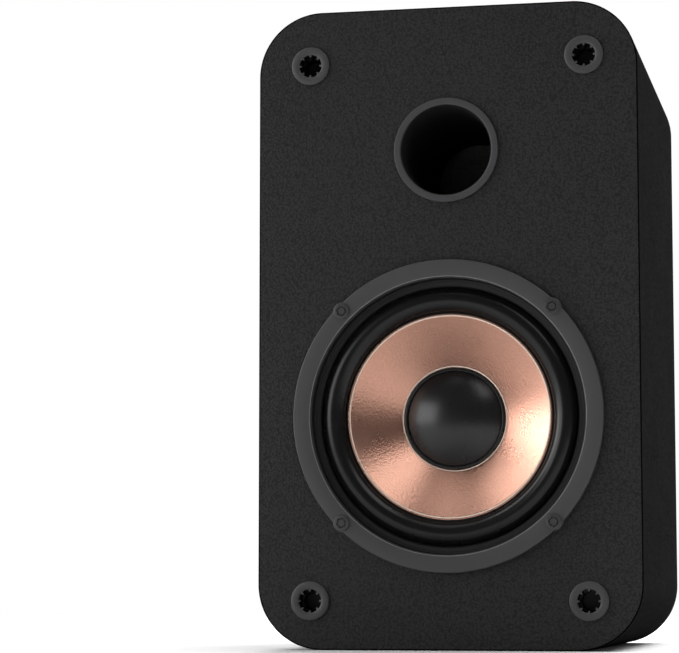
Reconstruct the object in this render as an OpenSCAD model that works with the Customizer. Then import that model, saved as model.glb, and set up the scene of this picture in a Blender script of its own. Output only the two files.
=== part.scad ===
// Bookshelf speaker: a ported cabinet with one full-range driver.
// +X is to the right of someone facing the front, -Y is the front and +Z is up.
// The origin is on the resting surface, under the middle of the speaker.

/* [Cabinet] */
// Width over the wrap
cabinet_w = 142; // [138:1:160]
// Height over the wrap
cabinet_h = 238; // [232:1:270]
// Depth from the front face to the rear face
cabinet_d = 158; // [150:1:190]
// Radius of the four long edges
corner_r = 24; // [16:1:28]
// Thickness of the vinyl wrap
wrap_t = 0.5; // [0.4:0.1:1]
// Thickness of the front baffle
baffle_t = 15; // [14:1:18]
// Wall of the bent shell
shell_wall = 9; // [6:1:10]
// Thickness of the rear panel
rear_t = 9; // [8:1:12]

/* [Driver] */
// Height of the driver's axis above the base
driver_z = 85.5; // [83:0.5:90]
// Outer radius of the trim ring
trim_r = 57.5; // [57:0.5:59]
// Radius of the opening in the trim ring
trim_open_r = 51.2; // [51:0.1:52]
// How far the trim ring stands proud
trim_proud = 2; // [1.5:0.5:2]
// Radius of the circle through the four screws
screw_circle_r = 55.3; // [55:0.1:56]
// How far the surround's landing lies behind the front face
landing_at = 5.5; // [5:0.5:6]
// Radius of the cone's outer edge
cone_r = 38.1; // [37.5:0.1:38.2]
// Depth of the cone
cone_depth = 17; // [16:0.5:18]
// Radius of the dust cap
cap_r = 18.9; // [17:0.1:20]
// Height of the dust cap's dome
cap_rise = 5.5; // [3:0.5:7]
// Outer radius of the magnet
magnet_r = 34; // [30:1:35]
// Thickness of the magnet
magnet_t = 13; // [10:1:16]

/* [Port] */
// Height of the port's axis above the base
port_z = 184; // [180:1:190]
// Inner radius of the tube
port_r = 16.6; // [14:0.1:17]
// Outer radius of the port's front flange
port_flange_r = 19.5; // [19.5:0.1:22]
// Length of the tube behind the front face
port_length = 92; // [60:1:100]

/* [Grille sockets] */
// Distance of the sockets from the middle, to each side
socket_x = 51.4; // [50:0.1:52]
// Distance of the upper sockets below the top
socket_from_top = 20.3; // [19:0.1:22]
// Distance of the lower sockets above the base
socket_from_base = 17.9; // [17:0.1:19]
// Radius of the flange
socket_flange_r = 7.15; // [7:0.05:8]
// Radius of the mouth
socket_mouth_r = 4.25; // [4.2:0.05:4.3]
// Radius of the seat that grips the peg
socket_seat_r = 3.4; // [3:0.1:3.5]
// Number of guide ribs in the mouth
socket_ribs = 8; // [6:1:10]

/* [Terminals] */
// Height of the terminal cup's middle above the base
cup_z = 75; // [60:1:85]
// Side of the cup's flange
cup_flange = 68; // [68:1:72]
// Side of the cup's recess
cup_recess = 46; // [46:1:50]
// Depth of the recess
cup_depth = 20; // [18:1:22]
// Distance between the two binding posts
post_pitch = 19; // [19]
// Radius of the threaded stud
stud_r = 3; // [3]
// Radius of the banana plug's bore
banana_r = 2; // [2]
// Depth of the banana plug's bore
banana_depth = 9.5; // [8:0.5:9.5]
// Radius of the knob
knob_r = 6.5; // [6:0.5:7]

/* [Hidden] */
$fn = 96;
SOCKET_NAMES = ["top_left", "top_right", "bottom_left", "bottom_right"];

charcoal = [0.16, 0.16, 0.165];
satin_grey = [0.26, 0.26, 0.265];
black = [0.05, 0.05, 0.055];
board_brown = [0.55, 0.42, 0.28];
copper = [0.80, 0.55, 0.43];
steel = [0.62, 0.63, 0.65];
brass = [0.80, 0.66, 0.36];
amber = [0.78, 0.55, 0.24];
ferrite = [0.18, 0.18, 0.19];
red = [0.72, 0.06, 0.06];

front_y = -cabinet_d / 2;
screw_head_r = 2.95;
screw_head_t = 0.7;
screw_shank_r = 1.75;
proud = trim_proud + screw_head_t;
ear_r = 3.3;
slack = 0.2;

// Depths behind the front face, and radii, for the driver's parts.
flange_t = 1.4;
gasket_t = 0.9;
rebate_t = flange_t + gasket_t;
sheet_t = 1.1;
flange_r = trim_r - 1.1;
step_r = trim_open_r - 0.4;
landing_r = 46.9;
pan_to = landing_at + sheet_t;
lip_t = 0.5;
rim_t = 0.4;
rim_at = landing_at - lip_t - rim_t;
rim_flat = 1;
cone_wall = 0.8;
former_r = 13;
neck_at = rim_at + cone_depth;
cone_slope = cone_depth / (cone_r - rim_flat - former_r);
roll_r = 4.3;
roll_mid_r = 43.2;
spider_at = neck_at + 1.8;
spider_r = 30;
spider_t = 0.5;
ledge_at = spider_at + 0.6;
ledge_r = 34;
board_at = ledge_at + flange_t;
board_t = 1.6;
back_at = ledge_at + 10;
plate_t = 4;
magnet_at = back_at + plate_t;
yoke_at = magnet_at + magnet_t;
yoke_t = 4;
former_wall = 0.3;
former_from = neck_at - 1.8;
former_to = back_at + 7;
coil_wall = 0.5;
coil_half = 3.5;
coil_at = back_at + plate_t / 2;
pole_r = 12.2;
plate_hole_r = 13.9;
leg_angle = 45;
tag_offset = 7.5;
tag_r = 42.5;
tag_t = 1;
tag_w = 3;
tag_to = board_at + board_t + 8;

// Depths behind the front face, for the terminals.
cup_wall = 2;
cup_flange_t = 2;
cup_gasket_t = proud - cup_flange_t;
cup_face = cabinet_d + proud;
cup_floor = cabinet_d - cup_depth;
cup_hole = cup_recess + 2 * cup_wall + 1;
cup_screw_at = cup_flange / 2 - 4.5;
collar_t = 3;
washer_t = 0.8;
washer_gap = 0.1;
washer_at = cup_floor + collar_t + washer_gap;
knob_at = washer_at + washer_t + washer_gap;
knob_to = cabinet_d - 1;
stud_to = knob_to - 2.2;
bush_t = 1.5;
tab_t = 0.8;
nut_t = 4;
tab_at = cup_floor - cup_wall - bush_t - tab_t;
nut_at = tab_at - nut_t;
stud_from = nut_at - 2.5;
tab_reach = 16;
sleeve_l = 8;
tab_blade_w = 6.3;

function side_of(colour_name) = colour_name == "red" ? -1 : 1;
function post_x(colour_name) = side_of(colour_name) * post_pitch / 2;

// Places a shape drawn round the +Z axis so that it runs back into the cabinet from the front
// face, with its Z as the depth behind that face.
module into_cabinet(x = 0, z = 0) {
    translate([x, front_y, z])
        rotate([-90, 0, 0])
            children();
}

module at_driver() {
    into_cabinet(0, driver_z)
        children();
}

module at_post(colour_name) {
    into_cabinet(post_x(colour_name), cup_z)
        children();
}

module at_driver_screws() {
    for (quarter = [0:3])
        rotate(45 + 90 * quarter)
            translate([screw_circle_r, 0, 0])
                children();
}

module at_cup_screws() {
    for (x = [-1, 1], y = [-1, 1])
        translate([x * cup_screw_at, y * cup_screw_at, 0])
            children();
}

// A disc or ring between two depths.
module ring(outer, inner, from, to) {
    translate([0, 0, from])
        linear_extrude(to - from)
            difference() {
                circle(outer);
                if (inner > 0)
                    circle(inner);
            }
}

function corner(x, y, r, start, steps) =
    [for (i = [0:steps]) [x + r * cos(start + 90 * i / steps), y + r * sin(start + 90 * i / steps)]];

function rounded_outline(w, h, r, steps = 12) = concat(
    corner(w / 2 - r, h / 2 - r, r, 0, steps),
    corner(r - w / 2, h / 2 - r, r, 90, steps),
    corner(r - w / 2, r - h / 2, r, 180, steps),
    corner(w / 2 - r, r - h / 2, r, 270, steps)
);

module rounded_plate(w, h, r, from, to) {
    translate([0, 0, from])
        linear_extrude(to - from)
            polygon(rounded_outline(w, h, r));
}

// The cabinet's outline, taken in from the outside by a margin.
module cabinet_slab(margin, from, to) {
    into_cabinet(0, cabinet_h / 2)
        rounded_plate(cabinet_w - 2 * margin, cabinet_h - 2 * margin, corner_r - margin, from, to);
}

// The driver flange's outline: a disc with four ears round its screws.
module eared_disc(r, ear, from, to) {
    translate([0, 0, from])
        linear_extrude(to - from) {
            circle(r);
            at_driver_screws()
                circle(ear);
        }
}

// ---- Tubes swept along a route ----

function between_points(a, b, c, d, u) =
    0.5 * (2 * b + (c - a) * u + (2 * a - 5 * b + 4 * c - d) * u * u
        + (3 * b - a - 3 * c + d) * u * u * u);

// A smooth curve through every point of a route, with a fixed number of steps between points.
function smooth_route(p, steps) = concat(
    [for (i = [0:len(p) - 2], s = [0:steps - 1])
        between_points(p[max(i - 1, 0)], p[i], p[i + 1], p[min(i + 2, len(p) - 1)], s / steps)],
    [p[len(p) - 1]]
);

function unit(v) = v / norm(v);
function route_direction(p, i) = unit(p[min(i + 1, len(p) - 1)] - p[max(i - 1, 0)]);

// A closed tube of an even round section, whose rings stand square to the route.
module swept_tube(route, r, sides = 8) {
    rings = len(route);
    points = [
        for (i = [0:rings - 1])
            let (d = route_direction(route, i), a = unit(cross(d, [0.31, 0.17, 0.93])), b = cross(d, a))
                for (k = [0:sides - 1])
                    route[i] + r * (a * cos(360 * k / sides) + b * sin(360 * k / sides))
    ];
    walls = [
        for (i = [0:rings - 2], k = [0:sides - 1])
            let (n = (k + 1) % sides)
                [i * sides + k, (i + 1) * sides + k, (i + 1) * sides + n, i * sides + n]
    ];
    ends = [
        [for (k = [0:sides - 1]) k],
        [for (k = [sides - 1:-1:0]) (rings - 1) * sides + k]
    ];
    polyhedron(points, concat(walls, ends), convexity = 6);
}

// ---- Cabinet ----

module front_baffle() {
    color(charcoal)
        difference() {
            cabinet_slab(wrap_t, 0, baffle_t);
            at_driver() {
                eared_disc(flange_r + slack, ear_r - slack, -1, rebate_t);
                ring(step_r + sheet_t + slack, 0, -1, pan_to + 2 * slack);
                ring(landing_r + 1.6, 0, -1, baffle_t + 1);
                at_driver_screws() {
                    ring(screw_shank_r + slack, 0, -1, baffle_t + 1);
                    ring(nut_r, 0, nut_from, baffle_t + 1);
                }
            }
            into_cabinet(0, port_z)
                ring(port_r + port_wall, 0, -1, baffle_t + 1);
            for (name = SOCKET_NAMES)
                at_socket(name)
                    ring(socket_body_r, 0, -1, baffle_t + 1);
        }
}

module cabinet_shell() {
    color(board_brown)
        difference() {
            cabinet_slab(wrap_t, baffle_t, cabinet_d - rear_t);
            cabinet_slab(wrap_t + shell_wall, baffle_t - 1, cabinet_d - rear_t + 1);
        }
}

module rear_panel() {
    color(charcoal)
        difference() {
            cabinet_slab(wrap_t, cabinet_d - rear_t, cabinet_d);
            into_cabinet(0, cup_z) {
                rounded_plate(cup_hole, cup_hole, 5, cabinet_d - rear_t - 1, cabinet_d + 1);
                at_cup_screws()
                    ring(cup_screw_r, 0, cabinet_d - rear_t - 1, cabinet_d + 1);
            }
        }
}

module side_wrap() {
    color(black)
        difference() {
            cabinet_slab(0, 0, cabinet_d);
            cabinet_slab(wrap_t, -1, cabinet_d + 1);
        }
}

mat_w = 108;
mat_h = 92;
mat_t = 18;
mat_z = 170;

module damping_mat() {
    color("whitesmoke")
        into_cabinet(0, mat_z)
            rounded_plate(mat_w, mat_h, 10, cabinet_d - rear_t - mat_t, cabinet_d - rear_t);
}

// ---- Port ----

port_wall = 1.8;
port_proud = 1.2;
port_flare = 3;
port_flare_l = 8;
port_lip = 0.6;

module port_tube() {
    color(black)
        into_cabinet(0, port_z)
            rotate_extrude()
                polygon([
                    [port_r + port_lip, -port_proud],
                    [port_flange_r - 0.3, -port_proud],
                    [port_flange_r, -port_proud + 0.3],
                    [port_flange_r, 0],
                    [port_r + port_wall, 0],
                    [port_r + port_wall, port_length - port_flare_l],
                    [port_r + port_wall + port_flare, port_length],
                    [port_r + port_flare, port_length],
                    [port_r, port_length - port_flare_l],
                    [port_r, 0.6],
                ]);
}

// ---- Grille sockets ----

socket_body_r = 5.4;
socket_proud = 0.9;
socket_mouth_l = 5;
socket_seat_l = 6;
socket_end = socket_mouth_l + socket_seat_l + 2;
rib_w = 0.6;
rib_tip_r = socket_seat_r + 0.05;

module at_socket(name) {
    x = (name == "top_left" || name == "bottom_left") ? -socket_x : socket_x;
    z = (name == "top_left" || name == "top_right") ? cabinet_h - socket_from_top : socket_from_base;
    into_cabinet(x, z)
        children();
}

module grille_socket(name) {
    color(satin_grey)
        at_socket(name)
            difference() {
                union() {
                    ring(socket_flange_r, 0, -socket_proud, 0);
                    ring(socket_body_r, 0, 0, socket_end);
                }
                translate([0, 0, -socket_proud - 1])
                    linear_extrude(socket_proud + 1 + socket_mouth_l)
                        difference() {
                            circle(socket_mouth_r);
                            for (i = [0:socket_ribs - 1])
                                rotate(360 * i / socket_ribs)
                                    translate([rib_tip_r, -rib_w / 2])
                                        square([socket_mouth_r, rib_w]);
                        }
                ring(socket_seat_r, 0, socket_mouth_l - 1, socket_mouth_l + socket_seat_l);
            }
}

// ---- Driver: fixed parts ----

module trim_ring() {
    color(satin_grey)
        at_driver()
            difference() {
                eared_disc(trim_r, ear_r, -trim_proud, 0);
                ring(step_r, 0, -trim_proud - 1, 1);
                translate([0, 0, -trim_proud - 0.01])
                    cylinder(trim_proud - 0.6, trim_open_r, step_r);
                at_driver_screws()
                    ring(screw_shank_r + slack, 0, -trim_proud - 1, 1);
            }
}

hex_flats = 3.4;
hex_depth = 0.55;
screw_to = baffle_t + 2;

module driver_screws() {
    color(satin_grey)
        at_driver()
            at_driver_screws()
                difference() {
                    union() {
                        ring(screw_head_r, 0, -trim_proud - screw_head_t, -trim_proud);
                        ring(screw_shank_r, 0, -trim_proud, screw_to);
                    }
                    translate([0, 0, -trim_proud - screw_head_t - 1])
                        cylinder(1 + hex_depth, r = hex_flats / sqrt(3), $fn = 6);
                }
}

nut_r = 2.5;
nut_from = baffle_t - 8;
nut_flange_r = 4.8;
nut_flange_t = 1.2;

// Flanged nuts, pressed into the baffle from behind.
module driver_nuts() {
    color(steel)
        at_driver()
            at_driver_screws() {
                ring(nut_r, screw_shank_r, nut_from, baffle_t);
                ring(nut_flange_r, screw_shank_r, baffle_t, baffle_t + nut_flange_t);
            }
}

module driver_gasket() {
    color(black)
        at_driver()
            difference() {
                eared_disc(flange_r, ear_r - 2 * slack, flange_t, rebate_t);
                ring(step_r + sheet_t + slack, 0, 0, rebate_t + 1);
                at_driver_screws()
                    ring(screw_shank_r + slack, 0, 0, rebate_t + 1);
            }
}

window_half_angle = 36;
window_from = pan_to + 2.5;
window_to = ledge_at - 1.5;
window_reach = 60;
seat_inner_r = 20;
rivet_r = 1.5;
rivet_at = 37;
tab_half_w = 6;
tab_to = 40;

// A pressed steel pan for the surround, four legs, a ledge for the spider and a cup that meets
// the magnet.
module basket() {
    color(ferrite)
        at_driver()
            difference() {
                union() {
                    eared_disc(flange_r, ear_r - 2 * slack, 0, flange_t);
                    rotate_extrude()
                        polygon([
                            [step_r, flange_t / 2],
                            [step_r + sheet_t, flange_t / 2],
                            [step_r + sheet_t, pan_to],
                            [landing_r + 0.4, pan_to],
                            [ledge_r - 2, ledge_at],
                            [ledge_r, ledge_at],
                            [ledge_r, board_at],
                            [spider_r + 0.6, board_at],
                            [spider_r + 0.6, back_at],
                            [seat_inner_r, back_at],
                            [seat_inner_r, back_at - flange_t],
                            [spider_r - 0.6, back_at - flange_t],
                            [spider_r - 0.6, board_at],
                            [spider_r - 2.5, board_at],
                            [spider_r - 2.5, ledge_at],
                            [spider_r + 0.5, ledge_at],
                            [landing_r - 1, pan_to],
                            [landing_r, landing_at],
                            [step_r, landing_at],
                        ]);
                    rotate(leg_angle)
                        translate([ledge_r - 3, -tab_half_w, ledge_at])
                            cube([tab_to - ledge_r + 3, 2 * tab_half_w, flange_t]);
                }
                ring(step_r, 0, -1, landing_at);
                for (quarter = [0:3])
                    rotate(90 * quarter)
                        translate([0, 0, window_from])
                            linear_extrude(window_to - window_from)
                                polygon([
                                    [0, 0],
                                    window_reach * [cos(window_half_angle), -sin(window_half_angle)],
                                    window_reach * [cos(window_half_angle), sin(window_half_angle)],
                                ]);
                at_driver_screws()
                    ring(screw_shank_r + slack, 0, -1, flange_t + 1);
                rotate(leg_angle)
                    translate([rivet_at, 0, 0])
                        ring(rivet_r, 0, ledge_at - 1, board_at + 1);
            }
}

surround_gasket_r = 47.9;

module surround_gasket() {
    color(black)
        at_driver()
            rotate_extrude()
                polygon([
                    [surround_gasket_r, landing_at - lip_t],
                    [step_r - 0.1, landing_at - lip_t],
                    [step_r - 0.1, landing_at - 2.6],
                    [step_r - 0.9, landing_at - 2.6],
                    [step_r - 1.1, landing_at - 2.1],
                    [surround_gasket_r + 0.5, landing_at - 2.1],
                    [surround_gasket_r, landing_at - 1.6],
                ]);
}

module top_plate() {
    color(steel)
        at_driver()
            ring(spider_r + 1, plate_hole_r, back_at, magnet_at);
}

module magnet() {
    color(ferrite)
        at_driver()
            ring(magnet_r, 16, magnet_at, yoke_at);
}

module pole_yoke() {
    color(steel)
        at_driver()
            difference() {
                union() {
                    ring(pole_r, 0, back_at, yoke_at + 1);
                    ring(magnet_r - 2, 0, yoke_at, yoke_at + yoke_t);
                }
                ring(4, 0, back_at - 1, yoke_at + yoke_t + 1);
            }
}

// ---- Driver: moving parts ----

module cone() {
    flat_r = cone_r - rim_flat;
    color(copper)
        at_driver()
            rotate_extrude()
                polygon([
                    [cone_r, rim_at],
                    [cone_r, rim_at + rim_t],
                    [flat_r, rim_at + rim_t],
                    [former_r + 0.05, neck_at + cone_wall],
                    [former_r + 0.05, neck_at],
                    [flat_r, rim_at],
                ]);
}

function cone_face(r) = rim_at + (cone_r - rim_flat - r) * cone_slope;

cap_wall = 0.5;
cap_foot_w = 1.6;
cap_foot_t = 0.9;
cap_base_at = cone_face(cap_r) - 0.2;
cap_edge_r = cap_r - cap_foot_w;
cap_sphere_r = (cap_edge_r * cap_edge_r + cap_rise * cap_rise) / (2 * cap_rise);
cap_half_angle = asin(cap_edge_r / cap_sphere_r);

function cap_arc(r, steps, outward) =
    [for (i = outward ? [0:steps] : [steps:-1:0])
        let (a = cap_half_angle * i / steps)
            [r * sin(a), cap_base_at - cap_rise + cap_sphere_r - r * cos(a)]];

module dust_cap() {
    color(black)
        at_driver()
            rotate_extrude()
                polygon(concat(
                    cap_arc(cap_sphere_r, 16, true),
                    [
                        [cap_edge_r + 0.3, cone_face(cap_r) - cap_foot_t],
                        [cap_r - 0.3, cone_face(cap_r) - cap_foot_t],
                        [cap_r, cone_face(cap_r) - cap_foot_t + 0.3],
                        [cap_r, cone_face(cap_r)],
                        [cap_edge_r, cone_face(cap_edge_r)],
                    ],
                    cap_arc(cap_sphere_r - cap_wall, 16, false)
                ));
}

module voice_coil_former() {
    color(amber)
        at_driver()
            ring(former_r, former_r - former_wall, former_from, former_to);
}

module voice_coil() {
    color(copper)
        at_driver()
            ring(former_r + coil_wall, former_r, coil_at - coil_half, coil_at + coil_half);
}

// ---- Driver: parts that flex ----

function half_circle(r, steps, outward) =
    [for (i = outward ? [0:steps] : [steps:-1:0])
        let (a = 180 * i / steps)
            [roll_mid_r - r * cos(a), landing_at - r * sin(a)]];

// A half roll with a flat lip inside, behind the cone's rim, and a flat lip outside, on the basket.
module surround() {
    lip_in_r = cone_r - rim_flat + 0.1;
    front_r = roll_r + lip_t / 2;
    back_r = roll_r - lip_t / 2;
    color(black)
        at_driver()
            rotate_extrude()
                polygon(concat(
                    [[lip_in_r, landing_at], [lip_in_r, landing_at - lip_t]],
                    [[roll_mid_r - front_r - 0.1, landing_at - lip_t]],
                    half_circle(front_r, 24, true),
                    [[roll_mid_r + front_r, landing_at - lip_t]],
                    [[step_r - 0.1, landing_at - lip_t], [step_r - 0.1, landing_at]],
                    half_circle(back_r, 24, false)
                ));
}

spider_waves = 4;
spider_wave = 1.1;
spider_inner = former_r;
function spider_height(r) =
    spider_at + spider_wave * sin(360 * spider_waves * (r - spider_inner) / (spider_r - 3 - spider_inner));

module spider() {
    steps = 48;
    reach = spider_r - 3 - spider_inner;
    radii = [for (i = [0:steps]) spider_inner + reach * i / steps];
    color(amber)
        at_driver()
            rotate_extrude()
                polygon(concat(
                    [for (r = radii) [r, spider_height(r) - spider_t / 2]],
                    [[spider_r, ledge_at - spider_t], [spider_r, ledge_at]],
                    [for (i = [steps:-1:0]) [radii[i], spider_height(radii[i]) + spider_t / 2]]
                ));
}

// ---- Driver: tag board and leads ----

// Works from the basket's tagged leg: X outwards, Y across it and Z back.
module at_leg() {
    at_driver()
        rotate(leg_angle)
            children();
}

module at_tags() {
    for (side = [-1, 1])
        translate([tag_r, side * tag_offset, 0])
            children();
}

board_from = 34.8;
board_to = 46;
board_half_w = 11;

module tag_board() {
    color("sienna")
        at_leg()
            difference() {
                translate([board_from, -board_half_w, board_at])
                    cube([board_to - board_from, 2 * board_half_w, board_t]);
                translate([rivet_at, 0, 0])
                    ring(rivet_r, 0, board_at - 1, board_at + board_t + 1);
                at_tags()
                    translate([-tag_t / 2, -tag_w / 2, board_at - 1])
                        cube([tag_t, tag_w, board_t + 2]);
            }
}

module tag_rivet() {
    head_t = 0.8;
    color(steel)
        at_leg()
            translate([rivet_at, 0, 0]) {
                ring(rivet_r, 0, ledge_at, board_at + board_t);
                ring(rivet_r + 1, 0, board_at + board_t, board_at + board_t + head_t);
                ring(rivet_r + 1, 0, ledge_at - head_t, ledge_at);
            }
}

module driver_tags() {
    color(brass)
        at_leg()
            at_tags()
                translate([-tag_t / 2, -tag_w / 2, board_at - 1])
                    cube([tag_t, tag_w, tag_to - board_at + 1]);
}

lead_r = 0.6;

// A lead runs from the back of the cone, out between two legs, to a tag.
module tinsel_lead(side) {
    route = [
        [20, 0, neck_at - 4.3],
        [24, 0, neck_at - 3],
        [29, 0, neck_at - 2.4],
        [33, 0, neck_at - 1.2],
        [38, 0, neck_at + 0.6],
        [41.2, 0, neck_at + 3]
    ];
    color(brass)
        at_leg()
            translate([0, side * tag_offset, 0])
                swept_tube(smooth_route(route, 4), lead_r);
}

// ---- Terminal cup ----

cup_screw_r = 1.5;
cup_screw_head_r = 2.9;
cup_screw_head_t = 1.4;
cup_screw_l = 9;

module terminal_cup() {
    color(black)
        into_cabinet(0, cup_z)
            difference() {
                union() {
                    rounded_plate(cup_flange, cup_flange, 6, cup_face - cup_flange_t, cup_face);
                    rounded_plate(
                        cup_recess + 2 * cup_wall, cup_recess + 2 * cup_wall, 5,
                        cup_floor - cup_wall, cup_face - cup_flange_t
                    );
                }
                rounded_plate(cup_recess, cup_recess, 4, cup_floor, cup_face + 1);
                for (x = [-1, 1])
                    translate([x * post_pitch / 2, 0, 0])
                        ring(stud_r + 0.1, 0, cup_floor - cup_wall - 1, cup_floor + 1);
                at_cup_screws() {
                    ring(cup_screw_r + slack, 0, cup_face - cup_flange_t - 1, cup_face + 1);
                    translate([0, 0, cup_face - cup_screw_head_t])
                        cylinder(cup_screw_head_t + 0.01, cup_screw_r + slack, cup_screw_head_r + 0.1);
                }
            }
}

module cup_gasket() {
    color(black)
        into_cabinet(0, cup_z)
            difference() {
                rounded_plate(cup_flange - 1, cup_flange - 1, 5.5, cabinet_d, cabinet_d + cup_gasket_t);
                rounded_plate(cup_hole, cup_hole, 5, cabinet_d - 1, cabinet_d + cup_gasket_t + 1);
                at_cup_screws()
                    ring(cup_screw_r + slack, 0, cabinet_d - 1, cabinet_d + cup_gasket_t + 1);
            }
}

cross_l = 3.6;
cross_w = 0.8;
cross_depth = 1.2;

module cup_screws() {
    color(ferrite)
        into_cabinet(0, cup_z)
            at_cup_screws()
                difference() {
                    union() {
                        ring(cup_screw_r, 0, cup_face - cup_screw_l, cup_face - cup_screw_head_t);
                        translate([0, 0, cup_face - cup_screw_head_t])
                            cylinder(cup_screw_head_t - 0.1, cup_screw_r, cup_screw_head_r);
                    }
                    for (turn = [0, 90])
                        rotate(turn)
                            translate([-cross_l / 2, -cross_w / 2, cup_face - cross_depth])
                                cube([cross_l, cross_w, cross_depth + 1]);
                }
}

// ---- Binding posts ----

wire_hole_r = 1.3;

module stud(colour_name) {
    color(brass)
        at_post(colour_name)
            difference() {
                ring(stud_r, 0, stud_from, stud_to);
                ring(banana_r, 0, stud_to - banana_depth, stud_to + 1);
                translate([0, 0, knob_at + wire_hole_r])
                    rotate([90, 0, 0])
                        translate([0, 0, -stud_r - 1])
                            cylinder(2 * stud_r + 2, r = wire_hole_r);
            }
}

module collar(colour_name) {
    color(colour_name == "red" ? red : black)
        at_post(colour_name)
            ring(knob_r + 0.5, stud_r, cup_floor, cup_floor + collar_t);
}

module washer(colour_name) {
    color(brass)
        at_post(colour_name)
            ring(knob_r - 1.2, stud_r + 0.05, washer_at, washer_at + washer_t);
}

flutes = 18;
flute_r = 0.55;
cap_hole_r = 2.3;
insert_wall = 1;
insert_l = 8;

module knob(colour_name) {
    insert_outer = stud_r + 0.05 + insert_wall;
    color(colour_name == "red" ? red : black)
        at_post(colour_name)
            difference() {
                union() {
                    ring(knob_r, 0, knob_at, knob_to - 0.8);
                    translate([0, 0, knob_to - 0.8])
                        cylinder(0.8, knob_r, knob_r - 0.8);
                }
                ring(insert_outer, 0, knob_at - 1, knob_at + insert_l);
                ring(stud_r + 0.3, 0, knob_at, stud_to + 0.6);
                ring(cap_hole_r, 0, stud_to, knob_to + 1);
                for (i = [0:flutes - 1])
                    rotate(360 * i / flutes)
                        translate([knob_r + 0.1, 0, 0])
                            ring(flute_r, 0, knob_at + 1.5, knob_to + 1);
            }
}

module knob_insert(colour_name) {
    color(brass)
        at_post(colour_name)
            ring(stud_r + 0.05 + insert_wall, stud_r + 0.05, knob_at, knob_at + insert_l);
}

module bush(colour_name) {
    color(black)
        at_post(colour_name)
            ring(knob_r, stud_r, cup_floor - cup_wall - bush_t, cup_floor - cup_wall);
}

// A ring round the stud with a blade that stands up from it.
module tab(colour_name) {
    color(steel)
        at_post(colour_name)
            difference() {
                union() {
                    ring(5.5, 0, tab_at, tab_at + tab_t);
                    translate([-tab_blade_w / 2, -tab_reach, tab_at])
                        cube([tab_blade_w, tab_reach, tab_t]);
                }
                ring(stud_r, 0, tab_at - 1, tab_at + tab_t + 1);
            }
}

module stud_nuts() {
    color(steel)
        for (colour_name = ["red", "black"])
            at_post(colour_name)
                difference() {
                    translate([0, 0, nut_at])
                        cylinder(nut_t, r = 10 / sqrt(3), $fn = 6);
                    ring(stud_r, 0, nut_at - 1, nut_at + nut_t + 1);
                }
}

// ---- Inner wiring ----

sleeve_gap = 0.05;
sleeve_wall = 0.9;
sleeve_overlap = 6;

// A push-on sleeve round a blade, whose slot fits the blade and whose other end takes the wire.
module push_on_sleeve(blade_w, blade_t) {
    outer = [blade_w + 2 * sleeve_wall, blade_t + 2 * sleeve_wall];
    slot = [blade_w + 2 * sleeve_gap, blade_t + 2 * sleeve_gap];
    difference() {
        linear_extrude(sleeve_l)
            square(outer, center = true);
        translate([0, 0, -1])
            linear_extrude(1 + sleeve_overlap)
                square(slot, center = true);
    }
}

module push_on_connectors() {
    color(steel) {
        for (colour_name = ["red", "black"])
            at_post(colour_name)
                translate([0, -tab_reach + sleeve_overlap, tab_at + tab_t / 2])
                    rotate([90, 0, 0])
                        push_on_sleeve(tab_blade_w, tab_t);
        at_leg()
            at_tags()
                translate([0, 0, tag_to - sleeve_overlap])
                    push_on_sleeve(tag_t, tag_w);
    }
}

wire_r = 1.1;

// The ends of the wires: on top of a post's connector, and behind a driver tag's connector.
// Each point is to the right, above the base, and behind the front face.
function post_end(colour_name) =
    [post_x(colour_name), cup_z + tab_reach - sleeve_overlap + sleeve_l, tab_at + tab_t / 2];
function tag_end(side) = [
    tag_r * cos(leg_angle) - side * tag_offset * sin(leg_angle),
    driver_z - tag_r * sin(leg_angle) - side * tag_offset * cos(leg_angle),
    tag_to - sleeve_overlap + sleeve_l
];

// Both wires stand up from their post, loop forward and come down behind the driver.
wire_red_route = concat(
    [post_end("red"), post_end("red") + [0, 4, 0]],
    [
        [-9, 101.5, 132.5], [-7.5, 104.5, 128], [-4.5, 104.5, 121.5], [1.5, 97, 110], [10, 84, 96],
        [18, 69, 82], [23, 57.5, 68], [24.7, 51.5, 56], [24.8, 50.3, 47]
    ],
    [tag_end(1) + [0, 0, 4], tag_end(1)]
);
wire_black_route = concat(
    [post_end("black"), post_end("black") + [0, 4, 0]],
    [
        [10, 101.5, 132.5], [11.5, 105, 128], [14.5, 105.5, 121.5], [20, 99, 110], [27.5, 87.5, 96],
        [33, 76, 82], [35.2, 66.5, 68], [35.4, 61.8, 56], [35.4, 60.9, 47]
    ],
    [tag_end(-1) + [0, 0, 4], tag_end(-1)]
);

module wire(route, shade) {
    color(shade)
        translate([0, front_y, 0])
            swept_tube(smooth_route([for (p = route) [p[0], p[2], p[1]]], 4), wire_r);
}

front_baffle();
cabinet_shell();
rear_panel();
side_wrap();
damping_mat();
port_tube();
grille_socket("top_left");  // grille_socket_top_left
grille_socket("top_right");  // grille_socket_top_right
grille_socket("bottom_left");  // grille_socket_bottom_left
grille_socket("bottom_right");  // grille_socket_bottom_right
trim_ring();
driver_screws();
driver_nuts();
driver_gasket();
basket();
surround_gasket();
surround();
cone();
dust_cap();
voice_coil_former();
voice_coil();
spider();
top_plate();
magnet();
pole_yoke();
tag_board();
tag_rivet();
driver_tags();
tinsel_lead(-1);  // tinsel_lead_positive
tinsel_lead(1);  // tinsel_lead_negative
terminal_cup();
cup_gasket();
cup_screws();
stud("red");  // red_stud
stud("black");  // black_stud
collar("red");  // red_collar
collar("black");  // black_collar
washer("red");  // red_washer
washer("black");  // black_washer
knob("red");  // red_knob
knob("black");  // black_knob
knob_insert("red");  // red_knob_insert
knob_insert("black");  // black_knob_insert
bush("red");  // red_bush
bush("black");  // black_bush
tab("red");  // red_tab
tab("black");  // black_tab
stud_nuts();
push_on_connectors();
wire(wire_red_route, red);  // wire_red
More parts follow.
